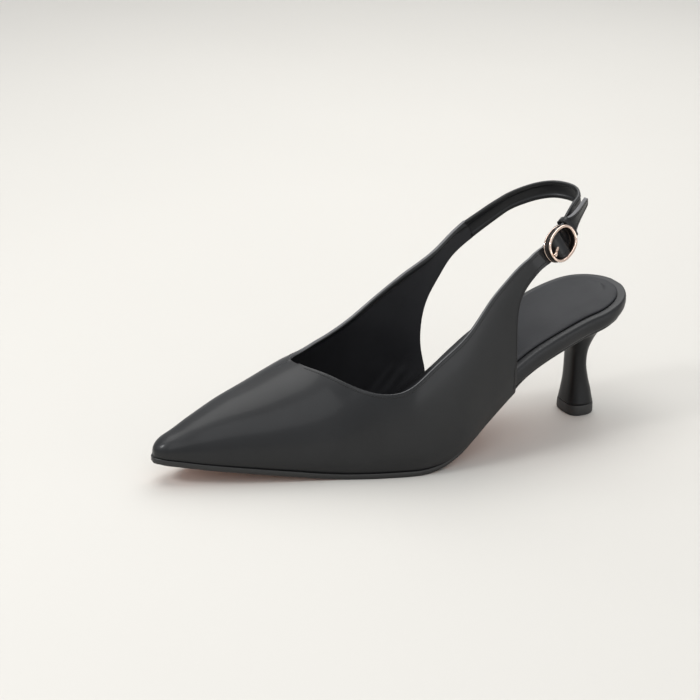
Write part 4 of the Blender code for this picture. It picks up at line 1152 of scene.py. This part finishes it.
def sling_columns():
    """Columns of the strap's outer face, from the inner quarter to its folded end."""
    end = inner_quarter[-1]
    low, high = end[0], end[-1]
    middles, across = [(low + high) / 2], [(high - low).normalized()]
    centre_y = SLING_BACK - CENTRE_BACK * SHOE_LENGTH
    for side, back, up in SLING_LOOP:
        middle = Vector((side * ANKLE_HALF, SLING_BACK - back * SHOE_LENGTH,
                         up * SLING_HEIGHT))
        outward = Vector((middle.x, middle.y - centre_y, 0)).normalized()
        middles.append(middle)
        across.append((Vector((0, 0, 1)) - SLING_LEAN * outward).normalized())
    loop_count = len(middles)
    fold_top = BAR_OUT + FOLD_RADIUS * math.sin(FOLD_START)
    fold_low = BAR_OUT - FOLD_RADIUS
    flat = [(run * RING_LENGTH, fold_top + drop * (SLING_UNDER - fold_top))
            for run, drop in SLING_AT_BUCKLE]
    for k in range(FOLD_STEPS + 1):
        turn = FOLD_START + (1.5 * math.pi - FOLD_START) * k / FOLD_STEPS
        flat.append((FOLD_RADIUS * math.cos(turn), BAR_OUT + FOLD_RADIUS * math.sin(turn)))
    flat += [(run * RING_LENGTH, fold_low + drop * (FOLD_UNDER - fold_low))
             for run, drop in SLING_RETURN]
    middles += [at_buckle(run, 0, out) for run, out in flat]
    across += [ACROSS] * len(flat)
    fine, fine_across = [], []
    for k in range(len(middles) - 1):
        steps = LOOP_STEPS if k < loop_count else BUCKLE_STEPS
        for i in range(steps):
            fine.append(along_curve(middles, k, i / steps))
            fine_across.append(across[k].lerp(across[k + 1], i / steps))
    fine.append(middles[-1])
    fine_across.append(across[-1])
    columns, thick = [], []
    for k, middle in enumerate(fine):
        run = run_at(fine, k).normalized()
        side = (fine_across[k] - run * fine_across[k].dot(run)).normalized()
        ease = max(1 - k / EASE_COLUMNS, 0)
        out = run.cross(side) * SLING_THICKNESS / 2 * (1 - ease)
        width = SLING_WIDTH + ((high - low).length - SLING_WIDTH) * ease * ease
        columns.append([middle - out + side * width / 2 * (2 * share - 1)
                        for share, turned in STRIP_ROWS])
        thick.append(SLING_THICKNESS + (UPPER_WALL - SLING_THICKNESS) * ease)
    # the first columns take up the quarter's own bow
    bow = []
    for (share, turned), point in zip(STRIP_ROWS, columns[0]):
        near = round(share * SIDE_ROWS)
        bowed = end[near] - low.lerp(high, near / SIDE_ROWS)
        bow.append(low.lerp(high, share) + bowed - point)
    for k in range(BOW_COLUMNS):
        fade = (1 - k / BOW_COLUMNS) ** 2 * (1 + 2 * k / BOW_COLUMNS)
        columns[k] = [p + b * fade for p, b in zip(columns[k], bow)]
    return columns, thick


strap_leather = leather("strap leather", (0.009, 0.0091, 0.0098), 0.40, coat=0.04)
sling_cols, sling_thick = sling_columns()
piece("sling_leather", strip("sling strap", sling_cols, sling_thick), strap_leather,
      "sling_strap", slot="sling_strap")
# stitched where it is bare, between the quarter and the keeper
loop_part = sling_cols[LOOP_STEPS // 2:LOOP_STEPS * len(SLING_LOOP)]
loop_inside = other_face(loop_part, SLING_THICKNESS + TURNED_EDGE, 0)
sew("sling_stitches", [(part, from_end, flip) for part, flip in
                       ((loop_part, -1), (loop_inside, 1)) for from_end in (True, False)])

# BUCKLE. A cast oval frame with a centre bar, polished and plated rose gold, with a
# plain wire prong hooked on the bar.
RING_POWER = 2.3           # 2 is an ellipse, more is squarer
RING_STEPS = 96
# The frame's section: away from the middle of its band, and out, as shares of half its
# width and half its depth. Two rounded rims stand out beyond a groove between them.
RING_PROFILE = (
    (1.00, 0.72), (0.94, 0.86), (0.70, 0.96), (0.30, 1.00), (-0.10, 0.98),
    (-0.52, 0.90), (-0.80, 0.74), (-0.95, 0.45), (-1.00, 0.05), (-0.96, -0.45),
    (-0.80, -0.80), (-0.45, -0.97), (0.20, -1.00), (0.70, -0.96), (0.94, -0.86),
    (1.00, -0.70), (0.90, -0.60), (0.20, -0.54), (-0.15, -0.44), (-0.25, 0.00),
    (-0.15, 0.44), (0.20, 0.54), (0.90, 0.60),
)
GROOVE_REACH = 0.61        # share of half the depth: faces inside it are the groove's


def oval(turn):
    """A point of the frame's middle line and the direction outward from it."""
    run_radius, across_radius = (RING_LENGTH - RING_FRAME) / 2, (RING_WIDTH - RING_FRAME) / 2
    along = signed(math.cos(turn), 2 / RING_POWER)
    over = signed(math.sin(turn), 2 / RING_POWER)
    outward = Vector((signed(along, RING_POWER - 1) / run_radius,
                      signed(over, RING_POWER - 1) / across_radius))
    return Vector((along * run_radius, over * across_radius)), outward.normalized()


def ring_rings():
    rings = []
    for k in range(RING_STEPS):
        middle, outward = oval(2 * math.pi * k / RING_STEPS)
        ring = []
        for away, up in RING_PROFILE:
            flat = middle + outward * RING_FRAME / 2 * away
            ring.append(at_buckle(flat.x, flat.y, RING_DEPTH / 2 * up))
        rings.append(ring)
    return rings


rose_gold = material("rose gold plate", (0.84, 0.66, 0.56), 0.16, 1.0,
                     gloss=(180, 3, 0.12, 0.20), relief=((500, 2, 0.00002, 0.3),))
# The faces in the frame's groove are painted near black: a painted reflection of the dark
# strap in the hollow.
groove_painted_reflection = material("groove painted reflection", (0.020, 0.016, 0.014), 0.45, 0.6)
ring_mesh = loft("buckle frame", ring_rings(), caps=False, closed=True)
dress(ring_mesh, rose_gold, groove_painted_reflection)
# faces within GROOVE_REACH of the frame's middle take the painted reflection
for face in ring_mesh.polygons:
    outs = [abs((ring_mesh.vertices[k].co - BUCKLE_CENTRE).dot(OUT)) for k in face.vertices]
    if max(outs) < GROOVE_REACH * RING_DEPTH / 2:
        face.material_index = 1


def wire(name, points, radius):
    """A round wire along points, as the mesh of a bevelled curve."""
    curve = bpy.data.curves.new(name, "CURVE")
    curve.dimensions = "3D"
    curve.bevel_depth = radius
    curve.bevel_resolution = 4
    curve.use_fill_caps = True
    line = curve.splines.new("POLY")
    line.points.add(len(points) - 1)
    for spot, point in zip(line.points, points):
        spot.co = (*point, 1)
    holder = bpy.data.objects.new(name, curve)
    mesh = bpy.data.meshes.new_from_object(holder)
    bpy.data.objects.remove(holder)
    mesh.materials.clear()
    mesh.shade_smooth()
    return mesh


def joined(name, meshes):
    work = bmesh.new()
    for mesh in meshes:
        work.from_mesh(mesh)
    made = bpy.data.meshes.new(name)
    work.to_mesh(made)
    work.free()
    dress(made, *meshes[0].materials)
    made.shade_smooth()
    return made


half_bar = (RING_WIDTH - RING_FRAME) / 2
bar_mesh = wire("bar", [at_buckle(0, half_bar * share, BAR_OUT) for share in (-1, 0, 1)],
                BAR_RADIUS)
piece("buckle_ring", joined("buckle frame", [ring_mesh, bar_mesh]), rose_gold,
      "buckle_frame", slot="buckle_frame")

PRONG_RADIUS = 0.0005
PRONG_EYE = BAR_RADIUS + EASE + PRONG_RADIUS
PRONG_TIP_RUN = -0.478     # share of RING_LENGTH
# The prong from its eye to its tip, as shares of the way forward and of the way out
PRONG_LINE = (
    (0.12, 0.03), (0.40, 0.22), (0.62, 0.46), (0.80, 0.76), (0.90, 0.95), (0.955, 1.0),
    (1.0, 1.0),
)
PRONG_VISUAL = 1.9 * PRONG_RADIUS # drawn thicker than the solid, as it looks
PRONG_LIFT = 0.0006        # of its middle, over the strap
PRONG_STEPS = 24


def prong_points():
    points = []
    for k in range(PRONG_STEPS + 1):
        turn = math.radians(-135 + 225 * k / PRONG_STEPS)
        points.append(at_buckle(PRONG_EYE * math.cos(turn), 0,
                                BAR_OUT + PRONG_EYE * math.sin(turn)))
    start = BAR_OUT + PRONG_EYE
    end = RING_DEPTH / 2 + GAP * 0.5 + PRONG_RADIUS
    out_of = fair(((0, 0),) + PRONG_LINE, 1)
    for share in (k / PRONG_STEPS for k in range(1, PRONG_STEPS + 1)):
        points.append(at_buckle(PRONG_TIP_RUN * RING_LENGTH * share, 0,
                                start + (end - start) * out_of(share)
                                + PRONG_LIFT * math.sin(math.pi * share)))
    return points


piece("buckle_prong_wire", wire("prong", prong_points(), PRONG_VISUAL), rose_gold,
      "buckle_prong", slot="buckle_prong")

# KEEPER. A narrow leather loop round the sling strap and the buckle strap's end, which
# holds that end down behind the buckle.
KEEPER_THICKNESS = 0.0008
KEEPER_WIDTH = 0.0032
KEEPER_ROUND = 0.0008      # inside its corners


def keeper_mesh():
    """A leather loop round the sling strap and the buckle strap's end."""
    low = SLING_UNDER * 1.10 - SLING_THICKNESS / 2 - GAP
    high = STRAP_UNDER + GAP
    half, start = SLING_WIDTH / 2 + GAP, 0.5 * RING_LENGTH + 2 * GAP
    rings = []
    for k, (x, z) in enumerate(((half, high), (-half, high), (-half, low), (half, low))):
        centre_x = x - math.copysign(KEEPER_ROUND, x)
        centre_z = z - KEEPER_ROUND if z == high else z + KEEPER_ROUND
        for i in range(4):
            turn = math.radians(90 * k + 30 * i)
            inside, outside = ((centre_x + reach * math.cos(turn),
                                centre_z + reach * math.sin(turn))
                               for reach in (KEEPER_ROUND, KEEPER_ROUND + KEEPER_THICKNESS))
            rings.append([at_buckle(start, *inside), at_buckle(start, *outside),
                          at_buckle(start + KEEPER_WIDTH, *outside),
                          at_buckle(start + KEEPER_WIDTH, *inside)])
    return loft("keeper", rings, closed=True)


piece("keeper_loop", keeper_mesh(), strap_leather, "keeper", slot="keeper")

# STAGE. A pale studio floor under a wide soft ceiling, with five smaller soft lights for
# the leather and the shadows, and the camera at the photograph's height and distance.
floor_mesh = mesh_of("floor", [(-4, -4, 0), (4, -4, 0), (4, 4, 0), (-4, 4, 0)],
                     [(0, 1, 2, 3)])
paper = material("studio paper", (0.60, 0.585, 0.552), 0.75,
                 tint=(3, 2, (0.596, 0.581, 0.548), (0.604, 0.589, 0.556)))
dress(floor_mesh, paper)
floor = put("studio_floor", floor_mesh)
if floor_mesh.polygons[0].normal.z < 0:
    floor_mesh.flip_normals()

world = bpy.data.worlds.new("studio")
world.use_nodes = True
fill(world.node_tree.nodes["Background"].inputs,
     {"Color": (0.96, 0.975, 1.0, 1), "Strength": 0.56})
bpy.context.scene.world = world
bpy.context.scene.view_settings.view_transform = "Standard"


#            place (m)            aimed at           size        watts  colour
LIGHTS = (
    ("ceiling", (-1.3, 0.8, 2.4), (-1.3, 0.8, 0.0), (5.0, 5.0), 21, (1.0, 0.985, 0.955)),
    ("back", (-0.65, 0.35, 0.90), (-0.50, 0.26, 0.0), (0.8, 0.8), 5.0, (1.0, 0.99, 0.965)),
    ("top", (-0.24, -0.35, 1.05), (0.0, -0.15, 0.02), (0.7, 0.7), 4.0, (1.0, 0.99, 0.97)),
    ("key", (0.89, -0.46, 0.94), (0.0, -0.15, 0.02), (0.8, 0.8), 3.0, (1.0, 1.0, 1.0)),
    ("low", (1.20, 0.45, 0.20), (0.0, -0.10, 0.03), (1.3, 0.38), 3.2, (1.0, 1.0, 1.0)),
    ("front", (0.02, -1.11, 0.84), (0.0, -0.22, 0.02), (0.26, 0.26), 5.2, (1.0, 1.0, 1.0)),
)
for name, place, target, size, watts, colour in LIGHTS:
    lamp = bpy.data.lights.new(name, "AREA")
    lamp.shape, lamp.energy, lamp.color = "RECTANGLE", watts, colour
    lamp.size, lamp.size_y = size
    holder = put(name, lamp)
    holder.location = place
    aim = Vector(target) - Vector(place)
    holder.rotation_euler = aim.to_track_quat("-Z", "Y").to_euler()

CAMERA_TARGET = Vector((0, -0.100, 0.040))
CAMERA_DISTANCE = 0.83748
CAMERA_AZIMUTH = math.radians(63.03)
CAMERA_HEIGHT = math.radians(22.01)
# a little turn, nod and roll put the picture's frame where the photograph's is
CAMERA_PAN, CAMERA_NOD, CAMERA_ROLL = -0.0296, 0.0066, math.radians(1.886)
facing = (Matrix.Rotation(CAMERA_AZIMUTH, 4, "Z")
          @ Matrix.Rotation(math.pi / 2 - CAMERA_HEIGHT, 4, "X"))
lens = bpy.data.cameras.new("camera")
lens.lens, lens.sensor_width, lens.sensor_fit = 90.0, 36.0, "HORIZONTAL"
lens.clip_start = 0.01
camera = put("camera", lens)
camera.matrix_world = (Matrix.Translation(CAMERA_TARGET) @ facing
                       @ Matrix.Translation((0, 0, CAMERA_DISTANCE))
                       @ Matrix.Rotation(-CAMERA_PAN, 4, "Y")
                       @ Matrix.Rotation(CAMERA_NOD, 4, "X")
                       @ Matrix.Rotation(CAMERA_ROLL, 4, "Z"))
bpy.context.scene.camera = camera
